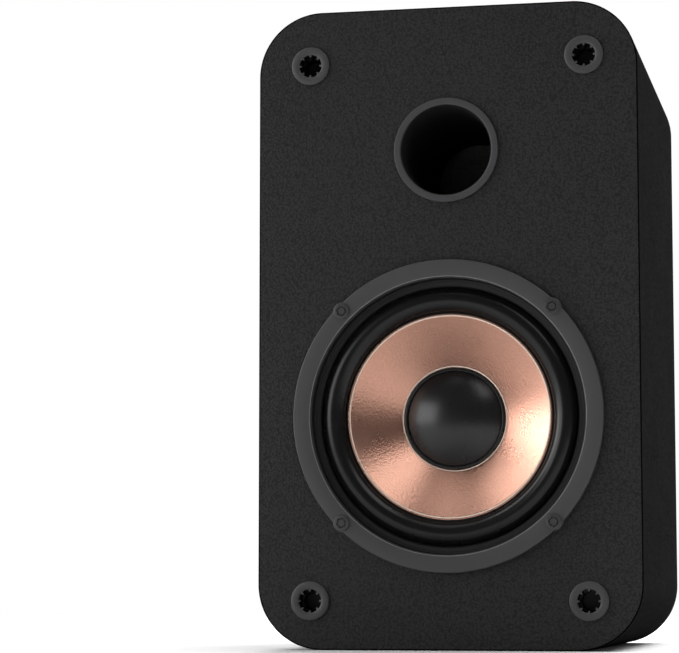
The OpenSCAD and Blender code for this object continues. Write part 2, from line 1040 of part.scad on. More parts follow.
wire(wire_black_route, black);  // wire_black
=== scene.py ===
"""A small ported bookshelf speaker: its visible pieces, finishes, studio and camera.

Every length is in metres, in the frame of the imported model: +X to the right of someone facing the
speaker, -Y out of its front and +Z up. Shapes are grids of points worked out with numpy.
"""

from __future__ import annotations

import logging
import math
from collections.abc import Callable, Mapping, Sequence
from dataclasses import dataclass
from enum import Enum

import bpy
import numpy as np
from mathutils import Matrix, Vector


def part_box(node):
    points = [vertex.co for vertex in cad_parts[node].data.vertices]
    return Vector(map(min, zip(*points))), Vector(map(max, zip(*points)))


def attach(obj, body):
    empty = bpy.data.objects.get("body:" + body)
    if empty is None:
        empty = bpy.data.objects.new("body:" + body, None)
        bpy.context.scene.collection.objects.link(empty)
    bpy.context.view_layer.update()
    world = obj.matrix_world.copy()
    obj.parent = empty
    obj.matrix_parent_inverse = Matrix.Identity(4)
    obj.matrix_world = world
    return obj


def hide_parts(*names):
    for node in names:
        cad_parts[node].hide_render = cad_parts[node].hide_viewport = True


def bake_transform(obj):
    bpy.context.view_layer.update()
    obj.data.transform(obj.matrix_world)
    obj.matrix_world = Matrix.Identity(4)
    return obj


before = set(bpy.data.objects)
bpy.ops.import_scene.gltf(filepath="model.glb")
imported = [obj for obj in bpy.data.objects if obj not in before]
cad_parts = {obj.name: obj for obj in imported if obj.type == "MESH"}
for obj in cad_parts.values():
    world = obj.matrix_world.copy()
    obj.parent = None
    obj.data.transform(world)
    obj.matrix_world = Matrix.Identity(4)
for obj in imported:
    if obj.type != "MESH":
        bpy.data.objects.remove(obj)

Array = np.ndarray
Axis = tuple[float, float]
Colour = tuple[float, float, float]
WHITE: Colour = (1.0, 1.0, 1.0)

MM = 0.001
TAU = 2 * math.pi
WELD = 1e-7
SHARP_ANGLE = math.radians(38)

CABINET = "cabinet"
CONE_BODY = "moving_cone"

log = logging.getLogger("speaker")


# ---------------------------------------------------------------------------------------------
# Places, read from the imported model
# ---------------------------------------------------------------------------------------------


@dataclass(frozen=True)
class Extent:
    """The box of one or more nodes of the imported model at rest."""

    low: Array
    high: Array

    @classmethod
    def of(cls, *nodes: str) -> Extent:
        """Reads the box that holds the given nodes.

        Args:
            *nodes: Names of nodes.

        Returns:
            Their common box.
        """
        boxes = np.array([[list(corner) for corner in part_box(node)] for node in nodes])
        return cls(boxes[:, 0].min(0), boxes[:, 1].max(0))

    @property
    def middle(self) -> Array:
        """The centre of the box."""
        return (self.low + self.high) / 2

    @property
    def axis(self) -> Axis:
        """X and Z of the centre, through which a round node's axis runs along Y."""
        return float(self.middle[0]), float(self.middle[2])

    @property
    def size(self) -> Array:
        """The lengths of the box's sides."""
        return self.high - self.low

    @property
    def radius(self) -> float:
        """Half of the width, which is the radius of a round node."""
        return float(self.size[0] / 2)

    @property
    def front(self) -> float:
        """The lowest Y, nearest to a listener."""
        return float(self.low[1])

    @property
    def back(self) -> float:
        """The highest Y."""
        return float(self.high[1])


class Post(Enum):
    """The two binding posts."""

    RED = "red"
    BLACK = "black"


class Corner(Enum):
    """The four grille sockets."""

    TOP_LEFT = "top_left"
    TOP_RIGHT = "top_right"
    BOTTOM_LEFT = "bottom_left"
    BOTTOM_RIGHT = "bottom_right"


# ---------------------------------------------------------------------------------------------
# Shapes as arrays
# ---------------------------------------------------------------------------------------------


def soften(
    corners: Sequence[Sequence[float]] | Array, radius: float | Array, steps: int = 5
) -> Array:
    """Rounds the corners of a closed profile.

    Each corner C becomes the arc (1 - t)^2 A + 2 t (1 - t) C + t^2 B for t from 0 to 1. A and B lie
    on the two sides that meet at C, at the radius from C or at 45 % of a shorter side.

    Args:
        corners: The profile's corners, one pair of numbers each.
        radius: How far the rounding reaches from each corner: one number, or one for each corner.
        steps: Points on each arc.

    Returns:
        The rounded profile, with steps times as many points.
    """
    corner = np.asarray(corners, float)
    to_last = np.roll(corner, 1, axis=0) - corner
    to_next = np.roll(corner, -1, axis=0) - corner
    last, following = np.linalg.norm(to_last, axis=1), np.linalg.norm(to_next, axis=1)
    reach = np.minimum(np.broadcast_to(radius, last.shape), 0.45 * np.minimum(last, following))
    a = corner + to_last * (reach / last)[:, None]
    b = corner + to_next * (reach / following)[:, None]
    t = np.linspace(0, 1, steps)[None, :, None]
    arcs = (1 - t) ** 2 * a[:, None] + 2 * t * (1 - t) * corner[:, None] + t**2 * b[:, None]
    return arcs.reshape(-1, 2)


def angles(count: int) -> Array:
    """Evenly spaced angles round a full turn, without the last one."""
    return np.linspace(0, TAU, count, endpoint=False)


@dataclass(frozen=True)
class Grid:
    """A grid of points. Rows run along a profile, and columns run round an outline."""

    points: Array
    closed_rows: bool = True
    closed_columns: bool = True

    def faces(self) -> Array:
        """Joins each point (i, j) to the next ones along both sides, wrapping where closed."""
        rows, columns = self.points.shape[:2]
        i, j = np.meshgrid(
            np.arange(rows if self.closed_rows else rows - 1),
            np.arange(columns if self.closed_columns else columns - 1),
            indexing="ij",
        )
        here, below, beside = i * columns, (i + 1) % rows * columns, (j + 1) % columns
        quads = [here + j, below + j, below + beside, here + beside]
        return np.stack(quads, -1).reshape(-1, 4)

    def welded(self) -> tuple[Array, Array, Array]:
        """Merges points that coincide, such as those at a pole, and turns the faces outwards.

        The faces' signed volume is the sum of p0 . (p1 x p2) / 6 over their triangles. Where it is
        negative, every face is turned round.

        Returns:
            The points, the faces with four corners and the faces with three.
        """
        flat = self.points.reshape(-1, 3)
        keys = np.round(flat / WELD).astype(np.int64)
        _, first, inverse = np.unique(keys, axis=0, return_index=True, return_inverse=True)
        points, quads = flat[first], inverse.reshape(-1)[self.faces()]
        same = quads == np.roll(quads, -1, axis=1)
        full, thin = quads[same.sum(1) == 0], same.sum(1) == 1
        kept = (same[thin].argmax(1)[:, None] + np.arange(1, 4)) % 4
        triples = np.take_along_axis(quads[thin], kept, axis=1)
        halves = np.concatenate([full[:, [0, 1, 2]], full[:, [0, 2, 3]], triples])
        p0, p1, p2 = (points[halves[:, k]] for k in range(3))
        if np.einsum("ij,ij->i", p0, np.cross(p1, p2)).sum() < 0:
            full, triples = full[:, ::-1], triples[:, ::-1]
        return points, full, triples


@dataclass(frozen=True)
class Lathe:
    """Turns profiles round an axis that runs back along +Y through (x, z)."""

    x: float
    z: float
    segments: int = 192

    @classmethod
    def through(cls, node: str, segments: int = 192) -> Lathe:
        """Takes the axis from the middle of a round node's box."""
        return cls(*Extent.of(node).axis, segments)

    @property
    def turn(self) -> Array:
        """The angle of each column."""
        return angles(self.segments)

    def spin(
        self, rows: Sequence[tuple[float | Array, float]] | Array, closed: bool = True
    ) -> Grid:
        """Places radius r and depth y at each angle a, at (x + r cos a, y, z + r sin a).

        Args:
            rows: (radius, depth) pairs. A radius is one number, or one for each angle.
            closed: Whether the last row joins the first. A profile that starts and ends on the
                axis is closed by its poles.

        Returns:
            The grid.
        """
        r = np.stack([np.broadcast_to(radius, self.segments) for radius, _ in rows])
        y = np.array([depth for _, depth in rows])[:, None] * np.ones(self.segments)
        points = np.stack([self.x + r * np.cos(self.turn), y, self.z + r * np.sin(self.turn)], -1)
        return Grid(points, closed_rows=closed)


def ring_section(box: Extent, inner: float, bevel: float, steps: int) -> Array:
    """The section of a ring that fills a box round a hole, with rounded edges."""
    low, high, out = box.front, box.back, box.radius
    return soften([(inner, low), (out, low), (out, high), (inner, high)], bevel, steps)


def rounded_frame(
    centre: Array, half: Axis, corner: float, inset: Array, y: Array, per_corner: int
) -> Grid:
    """Carries a profile round an upright rectangle with round corners.

    At inset e, the half sizes and the corner's radius shrink by e. The point at angle a is the
    corner's centre plus (R - e) (cos a, sin a). Past the corner's radius, the corner stays sharp.

    Args:
        centre: The rectangle's centre.
        half: Half of its width and of its height.
        corner: The corner's radius R.
        inset: How far each row lies inside the rectangle.
        y: The depth of each row.
        per_corner: Points on each corner.

    Returns:
        The grid, closed both ways.
    """
    quarter = np.repeat(np.arange(4), per_corner)
    angle = (quarter + np.tile(np.linspace(0, 1, per_corner), 4)) * TAU / 4
    side_x, side_z = np.array([1, -1, -1, 1])[quarter], np.array([1, 1, -1, -1])[quarter]
    e = np.asarray(inset, float)[:, None]
    r = np.maximum(corner - e, 0)
    x = centre[0] + side_x * np.maximum(half[0] - e - r, 0) + r * np.cos(angle)
    z = centre[2] + side_z * np.maximum(half[1] - e - r, 0) + r * np.sin(angle)
    return Grid(np.stack([x, np.broadcast_to(np.asarray(y)[:, None], x.shape), z], -1))


def hexagon(angle: Array) -> Array:
    """A hexagon's radius over its apothem: 1 / cos(a mod 60 deg - 30 deg)."""
    return 1 / np.cos(np.mod(angle, TAU / 6) - TAU / 12)


def cross_slot(angle: Array, reach: float, half_width: float) -> Array:
    """A plus sign's radius: the lesser of reach / cos b and half_width / sin b, b from an arm."""
    b = np.abs(np.mod(angle + TAU / 8, TAU / 4) - TAU / 8)
    return np.minimum(reach / np.cos(b), half_width / np.maximum(np.sin(b), 1e-6))


def thread(angle: Array, y: Array, pitch: float, depth: float) -> Array:
    """A screw thread's height: depth times the triangle wave of y / pitch + a / 360 deg."""
    phase = np.mod(y[:, None] / pitch + angle[None, :] / TAU, 1)
    return depth * (1 - np.abs(2 * phase - 1))


def smooth_route(points: Array, steps: int) -> Array:
    """Draws a Catmull-Rom curve: 0.5 (2b + (c-a)u + (2a-5b+4c-d)u^2 + (3b-a-3c+d)u^3).

    Args:
        points: The points that it passes through. a, b, c and d are four in a row.
        steps: Points on each stretch from b to c, at u from 0 to 1.

    Returns:
        The curve's points.
    """
    padded = np.concatenate([points[:1], points, points[-1:]])
    a, b, c, d = (padded[k : k + len(points) - 1, None] for k in range(4))
    u = np.linspace(0, 1, steps, endpoint=False)[None, :, None]
    square, cube = 2 * a - 5 * b + 4 * c - d, 3 * b - a - 3 * c + d
    curve = 0.5 * (2 * b + (c - a) * u + square * u**2 + cube * u**3)
    return np.concatenate([curve.reshape(-1, 3), points[-1:]])


def tube(route: Array, radius: float, sides: int, strands: int, relief: float, lay: float) -> Grid:
    """Carries a circle along a route, with closed round ends.

    At arc length s and angle a the radius is r (1 - relief |sin(strands (a / 2 + pi s / lay))|), so
    that strands seem to wind round the tube.

    Args:
        route: Points of the centre line.
        radius: The tube's radius.
        sides: Points round the tube.
        strands: Number of strands.
        relief: Depth of the grooves between strands, as a share of the radius.
        lay: Length over which a strand turns once.

    Returns:
        The grid, open along the route and closed by its poles.
    """
    ahead = np.gradient(route, axis=0)
    ahead /= np.linalg.norm(ahead, axis=1)[:, None]
    side = np.cross(ahead, [0.31, 0.93, 0.17])
    side /= np.linalg.norm(side, axis=1)[:, None]
    other = np.cross(ahead, side)
    s = np.concatenate([[0], np.cumsum(np.linalg.norm(np.diff(route, axis=0), axis=1))])
    a = angles(sides)
    groove = np.abs(np.sin(strands * (a[None, :] / 2 + math.pi * s[:, None] / lay)))
    r = radius * (1 - relief * groove)
    round_it = side[:, None] * np.cos(a)[:, None] + other[:, None] * np.sin(a)[:, None]
    rings = route[:, None] + r[..., None] * round_it
    ends = [np.repeat(route[k][None, None], sides, axis=1) for k in (0, -1)]
    return Grid(np.concatenate([ends[0], rings, ends[1]]), closed_rows=False)


def make_mesh(name: str, grids: Sequence[Grid]) -> bpy.types.Mesh:
    """Puts the points and faces of grids into one mesh.

    Args:
        name: The mesh's name.
        grids: The surfaces.

    Returns:
        The mesh, flat shaded.
    """
    points, faces, start = [], [], 0
    for grid in grids:
        own, quads, triples = grid.welded()
        points.append(own)
        faces += (quads + start).tolist() + (triples + start).tolist()
        start += len(own)
    mesh = bpy.data.meshes.new(name)
    mesh.from_pydata(np.concatenate(points), [], faces)
    return mesh


def smooth_shade(mesh: bpy.types.Mesh) -> None:
    """Shades a mesh smoothly, but for its sharp edges."""
    mesh.shade_smooth()
    mesh.set_sharp_from_angle(angle=SHARP_ANGLE)


def add_object(name: str, data: bpy.types.ID) -> bpy.types.Object:
    """Adds an object to the scene.

    Args:
        name: Its name.
        data: Its mesh, light or camera.

    Returns:
        The object, at the origin and unturned.
    """
    made = bpy.data.objects.new(name, data)
    bpy.context.scene.collection.objects.link(made)
    return made


def make_piece(
    name: str, grids: Sequence[Grid], finish: Finish, body: str | None, replaces: Sequence[str] = ()
) -> bpy.types.Object:
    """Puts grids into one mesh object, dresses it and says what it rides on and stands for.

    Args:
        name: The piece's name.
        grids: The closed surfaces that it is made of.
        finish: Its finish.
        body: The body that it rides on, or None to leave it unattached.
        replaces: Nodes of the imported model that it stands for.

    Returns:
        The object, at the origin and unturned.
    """
    mesh = make_mesh(name, grids)
    smooth_shade(mesh)
    mesh.materials.append(finish.material())
    piece = add_object(name, mesh)
    if replaces:
        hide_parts(*replaces)
    if body:
        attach(piece, body)
    sizes = len(mesh.vertices), len(mesh.polygons)
    log.info("%s: %d points, %d faces, %s", name, *sizes, finish.slot)
    return piece


def dress_node(name: str, finish: Finish) -> bpy.types.Object:
    """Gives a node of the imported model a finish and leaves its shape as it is.

    Args:
        name: The node's name.
        finish: Its finish.

    Returns:
        The node's object.
    """
    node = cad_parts[name]
    node.data.materials.clear()
    node.data.materials.append(finish.material())
    log.info("%s: kept, %s", name, finish.slot)
    return node


# ---------------------------------------------------------------------------------------------
# Shader maths
# ---------------------------------------------------------------------------------------------


class Maths(Enum):
    """The operations that signals are joined by, by their names in a shader node."""

    ADD = "ADD"
    SUBTRACT = "SUBTRACT"
    MULTIPLY = "MULTIPLY"
    DIVIDE = "DIVIDE"
    POWER = "POWER"
    MINIMUM = "MINIMUM"
    MAXIMUM = "MAXIMUM"


def _operator(word: Maths, swapped: bool = False) -> Callable[[Signal, object], Signal]:
    """Makes the method of an arithmetic operator.

    Args:
        word: The operation.
        swapped: Whether the signal stands on the operator's right.

    Returns:
        The method.
    """

    def method(self: Signal, other: object) -> Signal:
        """Joins the signal and the other value."""
        return self._joined(word, *((other, self) if swapped else (self, other)))

    return method


class Signal:
    """One output socket of a shader node, which can stand in an arithmetic expression."""

    def __init__(self, graph: Graph, socket: bpy.types.NodeSocket) -> None:
        """Wraps a socket of a graph."""
        self.graph = graph
        self.socket = socket

    def _joined(self, word: Maths, left: object, right: object) -> Signal:
        """Adds the node that joins two values: Mix for colours, else Vector Math or Math.

        Args:
            word: The operation.
            left: The first value.
            right: The second value.

        Returns:
            The result.
        """
        kinds = {v.socket.type for v in (left, right) if isinstance(v, Signal)}
        if "RGBA" in kinds:
            settings = {"data_type": "RGBA", "blend_type": word.value}
            sockets = {"Factor_Float": 1.0, "A_Color": left, "B_Color": right}
            return self.graph.node("ShaderNodeMix", settings, sockets, "Result_Color")
        kind = "ShaderNodeVectorMath" if "VECTOR" in kinds else "ShaderNodeMath"
        return self.graph.node(kind, {"operation": word.value}, {0: left, 1: right})

    __add__, __radd__ = _operator(Maths.ADD), _operator(Maths.ADD, swapped=True)
    __sub__, __rsub__ = _operator(Maths.SUBTRACT), _operator(Maths.SUBTRACT, swapped=True)
    __mul__, __rmul__ = _operator(Maths.MULTIPLY), _operator(Maths.MULTIPLY, swapped=True)
    __truediv__ = _operator(Maths.DIVIDE)
    __pow__ = _operator(Maths.POWER)

    def within(self, low: float = 0.0, high: float = 1.0) -> Signal:
        """self, kept between low and high."""
        raised = self._joined(Maths.MAXIMUM, self, low)
        return self._joined(Maths.MINIMUM, raised, high)

    def above(self, limit: float, soft: float) -> Signal:
        """0 up to the limit, rising to 1 over the soft length beyond it."""
        return ((self - limit) / soft).within()

    def below(self, limit: float, soft: float) -> Signal:
        """1 up to the soft length short of the limit, falling to 0 at the limit."""
        return ((limit - self) / soft).within()

    def spread(self) -> Signal:
        """self, a value, as the three equal parts of a vector."""
        return self.graph.node("ShaderNodeCombineXYZ", sockets={0: self, 1: self, 2: self})

    def function(self, operation: str) -> Signal:
        """A function of self alone, such as SINE or SQRT."""
        return self.graph.node("ShaderNodeMath", {"operation": operation}, {0: self})


class Graph:
    """The shader nodes of one material or world."""

    def __init__(self, owner: bpy.types.Material | bpy.types.World) -> None:
        """Empties the node tree of a material or world.

        Args:
            owner: The material or world.
        """
        self.owner = owner
        owner.use_nodes = True
        self.tree = owner.node_tree
        self.tree.nodes.clear()

    @staticmethod
    def _socket(sockets: Sequence[bpy.types.NodeSocket], key: int | str) -> bpy.types.NodeSocket:
        """Finds a socket by its number, its identifier or its name.

        Args:
            sockets: The inputs or outputs of a node.
            key: The number, identifier or name.

        Returns:
            The first socket that fits.
        """
        if isinstance(key, int):
            return sockets[key]
        return next(s for s in sockets if key in (s.identifier, s.name))

    def _feed(self, socket: bpy.types.NodeSocket, value: object) -> None:
        """Links a signal to a socket, or sets the socket's own value.

        Args:
            socket: The input.
            value: A signal, a number, or the parts of a colour or vector.
        """
        if isinstance(value, Signal):
            self.tree.links.new(value.socket, socket)
            return
        length = {"RGBA": 4, "VECTOR": 3}.get(socket.type, 1)
        if length == 1:
            socket.default_value = value
            return
        values = [value] * 3 if isinstance(value, (int, float)) else list(value)
        socket.default_value = (values + [1.0])[:length]

    def node(
        self,
        kind: str,
        settings: Mapping[str, object] | None = None,
        sockets: Mapping[int | str, object] | None = None,
        out: int | str = 0,
    ) -> Signal:
        """Adds any node.

        Args:
            kind: The node's type.
            settings: Its properties, which are set first.
            sockets: A value or a signal for each input, by number, identifier or name.
            out: The output to return.

        Returns:
            That output.
        """
        made = self.tree.nodes.new(kind)
        for key, value in (settings or {}).items():
            setattr(made, key, value)
        for key, value in (sockets or {}).items():
            self._feed(self._socket(made.inputs, key), value)
        return Signal(self, self._socket(made.outputs, out))

    def place(self) -> Signal:
        """The point's place on the object."""
        return self.node("ShaderNodeTexCoord", out="Object")

    def parts(self, vector: Signal) -> tuple[Signal, Signal, Signal]:
        """Splits a vector.

        Args:
            vector: The vector.

        Returns:
            Its X, Y and Z.
        """
        split = self.node("ShaderNodeSeparateXYZ", sockets={0: vector})
        outputs = split.socket.node.outputs
        return tuple(Signal(self, outputs[k]) for k in range(3))

    def away(self, axis: Axis) -> Signal:
        """The distance from the line along Y through (x, z)."""
        x, _, z = self.parts(self.place())
        return ((x - axis[0]) ** 2 + (z - axis[1]) ** 2).function("SQRT")

    def noise(self, size: float, detail: float = 2.0, stretch: Colour = (1, 1, 1)) -> Signal:
        """Smooth noise.

        Args:
            size: The length of one blotch, in metres.
            detail: Number of finer layers.
            stretch: How many times finer it is along X, Y and Z.

        Returns:
            Values from 0 to 1.
        """
        where = self.place() * tuple(s / size for s in stretch)
        sockets = {"Vector": where, "Scale": 1.0, "Detail": detail}
        return self.node("ShaderNodeTexNoise", sockets=sockets)

    def blend(self, low: object, high: object, amount: Signal) -> Signal:
        """The colour low where amount is 0, and high where it is 1."""
        sockets = {"Factor_Float": amount, "A_Color": low, "B_Color": high}
        return self.node("ShaderNodeMix", {"data_type": "RGBA"}, sockets, "Result_Color")

    def bump(self, height: Signal, depth: float) -> Signal:
        """Tilts the surface as if height, from 0 to 1, raised it by up to depth metres."""
        sockets = {"Strength": 1.0, "Distance": depth, "Height": height}
        return self.node("ShaderNodeBump", sockets=sockets)

    def close(self, **values: object) -> bpy.types.Material:
        """Ends the graph in a Principled shader.

        Args:
            **values: Its inputs, with an underscore for each space.

        Returns:
            The material.
        """
        sockets = {key.replace("_", " "): value for key, value in values.items()}
        return self.finish(self.node("ShaderNodeBsdfPrincipled", sockets=sockets))

    def finish(self, shader: Signal) -> bpy.types.Material | bpy.types.World:
        """Sends a shader to the surface.

        Args:
            shader: The shader.

        Returns:
            The material or world.
        """
        kind = "World" if isinstance(self.owner, bpy.types.World) else "Material"
        output = self.tree.nodes.new(f"ShaderNodeOutput{kind}")
        self.tree.links.new(shader.socket, output.inputs["Surface"])
        return self.owner


# ---------------------------------------------------------------------------------------------
# Finishes
# ---------------------------------------------------------------------------------------------


def tones(colour: Colour, low: float, high: float) -> tuple[Colour, Colour]:
    """A darker and a lighter copy of a colour, by two factors and no lighter than white."""
    return tuple(tuple(min(1.0, c * k) for c in colour) for k in (low, high))


@dataclass(frozen=True)
class Finish:
    """A finish of the record's slot of the same name."""

    slot: str

    def material(self) -> bpy.types.Material:
        """The finish as a material, made once."""
        name = f"{self.slot}_finish"
        return bpy.data.materials.get(name) or self.dress(Graph(bpy.data.materials.new(name)))

    def dress(self, graph: Graph) -> bpy.types.Material:
        """Fills in the finish's shader."""
        raise NotImplementedError


@dataclass(frozen=True)
class Plain(Finish):
    """A plastic, paint or rubber skin with a fine grain and slow changes of tone."""

    colour: Colour
    roughness: float = 0.5
    grain: float = 0.5 * MM
    depth: float = 0.02 * MM
    tone: float = 0.12
    gloss: float = 0.5
    coat: float = 0.0

    def dress(self, graph: Graph) -> bpy.types.Material:
        """Grain tilts the surface, and both grain and broad blotches shift its colour.

        Args:
            graph: The graph to fill.

        Returns:
            The material.
        """
        fine, broad = graph.noise(self.grain, 3.0), graph.noise(40 * self.grain, 2.0)
        dark, light = tones(self.colour, 1 - self.tone, 1 + self.tone)
        amount = (fine * 0.7 + broad * 0.6 - 0.15).within()
        return graph.close(
            Base_Color=graph.blend(dark, light, amount),
            Roughness=(self.roughness - 0.05 + broad * 0.1).within(0.05, 1.0),
            Specular_IOR_Level=self.gloss,
            Coat_Weight=self.coat,
            Coat_Roughness=0.25,
            Normal=graph.bump(fine, self.depth),
        )


@dataclass(frozen=True)
class OrangePeel(Finish):
    """A sprayed, textured paint: rounded droplets run together, with a finer dust between them."""

    colour: Colour
    droplet: float = 0.8 * MM
    depth: float = 0.22 * MM
    roughness: float = 0.55
    gloss: float = 0.3
    contrast: float = 0.55

    def dress(self, graph: Graph) -> bpy.types.Material:
        """Droplets come from scattered cells and dust from noise. Both raise and lighten the paint.

        Args:
            graph: The graph to fill.

        Returns:
            The material.
        """
        where = graph.place() * (1 / self.droplet)
        cells = {"Vector": where, "Scale": 1.0, "Smoothness": 0.6}
        droplets = 1 - graph.node("ShaderNodeTexVoronoi", {"feature": "SMOOTH_F1"}, cells)
        dust = graph.noise(0.35 * self.droplet, 2.0)
        broad = graph.noise(30 * MM, 3.0)
        height = droplets * 0.65 + dust * 0.35
        amount = (height * 2.6 - 1.1 + broad * 0.3).within()
        dark, light = tones(self.colour, 1 - self.contrast, 1 + 1.3 * self.contrast)
        return graph.close(
            Base_Color=graph.blend(dark, light, amount),
            Roughness=(self.roughness + dust * 0.12).within(),
            Specular_IOR_Level=self.gloss,
            Normal=graph.bump(height, self.depth),
        )


@dataclass(frozen=True)
class Vinyl(Finish):
    """A matt vinyl film, embossed with a leather-like pebble and black along its cut edges."""

    colour: Colour
    fold: float = 78.2 * MM
    edge: Colour = (0.003, 0.003, 0.003)
    pebble: float = 1.1 * MM
    depth: float = 0.12 * MM
    roughness: float = 0.85
    contrast: float = 0.55

    def dress(self, graph: Graph) -> bpy.types.Material:
        """Pebbles are the distance to the nearest crack between scattered cells, bent by noise.

        Args:
            graph: The graph to fill.

        Returns:
            The material.
        """
        bent = graph.place() + graph.noise(3 * MM, 2.0).spread() * (0.5 * MM)
        cells = {"Vector": bent * (1 / self.pebble), "Scale": 1.0}
        crack = graph.node("ShaderNodeTexVoronoi", {"feature": "DISTANCE_TO_EDGE"}, cells)
        swell = (crack * 3.2).within()
        fine, broad = graph.noise(0.3 * MM, 2.0), graph.noise(30 * MM, 2.0)
        drawn = graph.noise(1.1 * MM, 2.0, stretch=(1.0, 0.4, 1.0))
        grain = ((drawn - 0.5) * 2.4 + 0.5).within()
        height = swell * 0.4 + fine * 0.15 + grain * 0.45
        dark, light = tones(self.colour, 1 - self.contrast, 1 + self.contrast)
        _, y, _ = graph.parts(graph.place())
        edge = y.function("ABSOLUTE").above(self.fold, 0.1 * MM)
        skin = graph.blend(dark, light, (height * 1.1 + broad * 0.3 - 0.2).within())
        return graph.close(
            Base_Color=graph.blend(skin, self.edge, edge),
            Roughness=(self.roughness + fine * 0.1 - swell * 0.05).within(),
            Specular_IOR_Level=0.0,
            Normal=graph.bump(height, self.depth),
        )


@dataclass(frozen=True)
class BlastedMetal(Finish):
    """A metal skin with a fine even grain, such as a blasted, spun or plated one.

    Painted highlight rings, light and not metallic, circle the axis at (x, z). Each has a radius
    and a width.
    """

    colour: Colour
    roughness: float = 0.35
    grain: float = 0.35 * MM
    depth: float = 0.012 * MM
    tone: float = 0.06
    metallic: float = 1.0
    axis: Axis = (0.0, 0.0)
    highlight_rings: tuple[tuple[float, float], ...] = ()
    # The colour of the painted highlight rings.
    highlight_colour: Colour = (0.85, 0.70, 0.59)

    def dress(self, graph: Graph) -> bpy.types.Material:
        """Noise gives the grain, and broad noise the changes of tone.

        A painted highlight ring lies where the radius is within half of the ring's width of its own.

        Args:
            graph: The graph to fill.

        Returns:
            The material.
        """
        fine, broad = graph.noise(self.grain, 4.0), graph.noise(18 * MM, 3.0)
        out = graph.away(self.axis)
        dark, light = tones(self.colour, 1 - self.tone, 1 + self.tone)
        amount = (fine * 0.8 + broad * 0.5 - 0.15).within()
        colour, metal = graph.blend(dark, light, amount), self.metallic
        # Painted highlight: each ring turns the metal into a light, non-metallic band.
        for radius, width in self.highlight_rings:
            near = (out - radius).function("ABSOLUTE").below(width / 2, 0.05 * MM)
            colour, metal = graph.blend(colour, self.highlight_colour, near), metal * (1 - near)
        return graph.close(
            Base_Color=colour,
            Metallic=metal,
            Roughness=(self.roughness - 0.06 + broad * 0.12).within(0.03, 1.0),
            Normal=graph.bump(fine, self.depth),
        )


@dataclass(frozen=True)
class MouldedPort(Finish):
    """Grey moulding on the flange's face, and matt plastic inside the tube painted black as shade."""

    face: Colour
    # The colour of the painted shade inside the tube.
    inside: Colour
    axis: Axis
    edge: float

    def dress(self, graph: Graph) -> bpy.types.Material:
        """The radius from the tube's axis turns the painted black shade to grey at the flange's edge.

        Args:
            graph: The graph to fill.

        Returns:
            The material.
        """
        out = graph.away(self.axis)
        grey = out.above(self.edge, 0.15 * MM)
        fine, broad = graph.noise(0.3 * MM, 3.0), graph.noise(12 * MM)
        face = graph.blend(*tones(self.face, 1, 1.25), fine * 0.6 + broad * 0.4)
        inside = graph.blend(*tones(self.inside, 1, 1.5), fine)
        return graph.close(
            Base_Color=graph.blend(inside, face, grey),
            Roughness=(0.85 - grey * 0.4 + fine * 0.05).within(),
            Specular_IOR_Level=0.3,
            Normal=graph.bump(fine, 0.01 * MM),
        )


@dataclass(frozen=True)
class Recessed(Finish):
    """Satin grey moulding, with painted shade inside four sockets and a painted highlight round the
    driver's opening.
    """

    colour: Colour
    sockets: tuple[float, float, float]
    mouth: float = 4.5 * MM
    roughness: float = 0.42
    # The colour of the painted shade inside the sockets.
    inside: Colour = (0.002, 0.002, 0.002)
    # Painted highlight: the colour and radius of a thin light line round the driver's opening.
    edge: Colour = (0.17, 0.17, 0.175)
    highlight_radius: float = 51.3 * MM

    def dress(self, graph: Graph) -> bpy.types.Material:
        """Folds X and Z so that the sockets fall on one centre, and paints shade black near it.

        Args:
            graph: The graph to fill.

        Returns:
            The material.
        """
        across, up, face = self.sockets
        middle = (across + up) / 2
        x, y, z = graph.parts(graph.place())
        dx = x.function("ABSOLUTE") - SOCKET_HALF_PITCH
        dz = (z - middle).function("ABSOLUTE") - (up - across) / 2
        # Painted shade: black inside the sockets' mouths, deeper than the baffle's face.
        near = (dx**2 + dz**2).function("SQRT").below(self.mouth, 0.1 * MM)
        deep_shade = y.above(face + 0.2 * MM, 0.3 * MM)
        fine, broad = graph.noise(0.3 * MM, 2.0), graph.noise(25 * MM, 2.0)
        skin = graph.blend(*tones(self.colour, 0.95, 1.06), fine * 0.5 + broad * 0.5)
        # Painted highlight: lighter grey within 0.16 mm of the opening's radius.
        off_highlight = (graph.away(DRIVER_AXIS) - self.highlight_radius).function("ABSOLUTE")
        skin = graph.blend(skin, self.edge, off_highlight.below(0.16 * MM, 0.05 * MM))
        return graph.close(
            Base_Color=graph.blend(skin, self.inside, near * deep_shade),
            Roughness=(self.roughness + broad * 0.08).within(),
            Specular_IOR_Level=0.4,
            Normal=graph.bump(fine, 0.004 * MM),
        )


@dataclass(frozen=True)
class Woven(Finish):
    """Resin-dipped cloth whose threads run out from an axis and round it, or along X and Z."""

    colour: Colour
    pitch: float = 0.45 * MM
    axis: Axis | None = None
    roughness: float = 0.8
    spokes: float = 280.0

    def dress(self, graph: Graph) -> bpy.types.Material:
        """Each thread is a sine. Over and under, they take turns by the product of both sines.

        Args:
            graph: The graph to fill.

        Returns:
            The material.
        """
        x, y, z = graph.parts(graph.place())
        if self.axis:
            dx, dz = x - self.axis[0], z - self.axis[1]
            across = (dx**2 + dz**2).function("SQRT") * (TAU / self.pitch)
            turn = graph.node("ShaderNodeMath", {"operation": "ARCTAN2"}, {0: dz, 1: dx})
            along = turn * self.spokes
        else:
            across, along = (x + y * 0.4) * (TAU / self.pitch), z * (TAU / self.pitch)
        warp, weft = across.function("SINE"), along.function("SINE")
        height = warp * weft * 0.5 + 0.5
        dark, light = tones(self.colour, 0.6, 1.15)
        broad = graph.noise(9 * MM, 2.0)
        return graph.close(
            Base_Color=graph.blend(dark, light, (height * 0.7 + broad * 0.4).within()),
            Roughness=(self.roughness + height * 0.1).within(),
            Specular_IOR_Level=0.25,
            Normal=graph.bump(height, 0.12 * MM),
        )


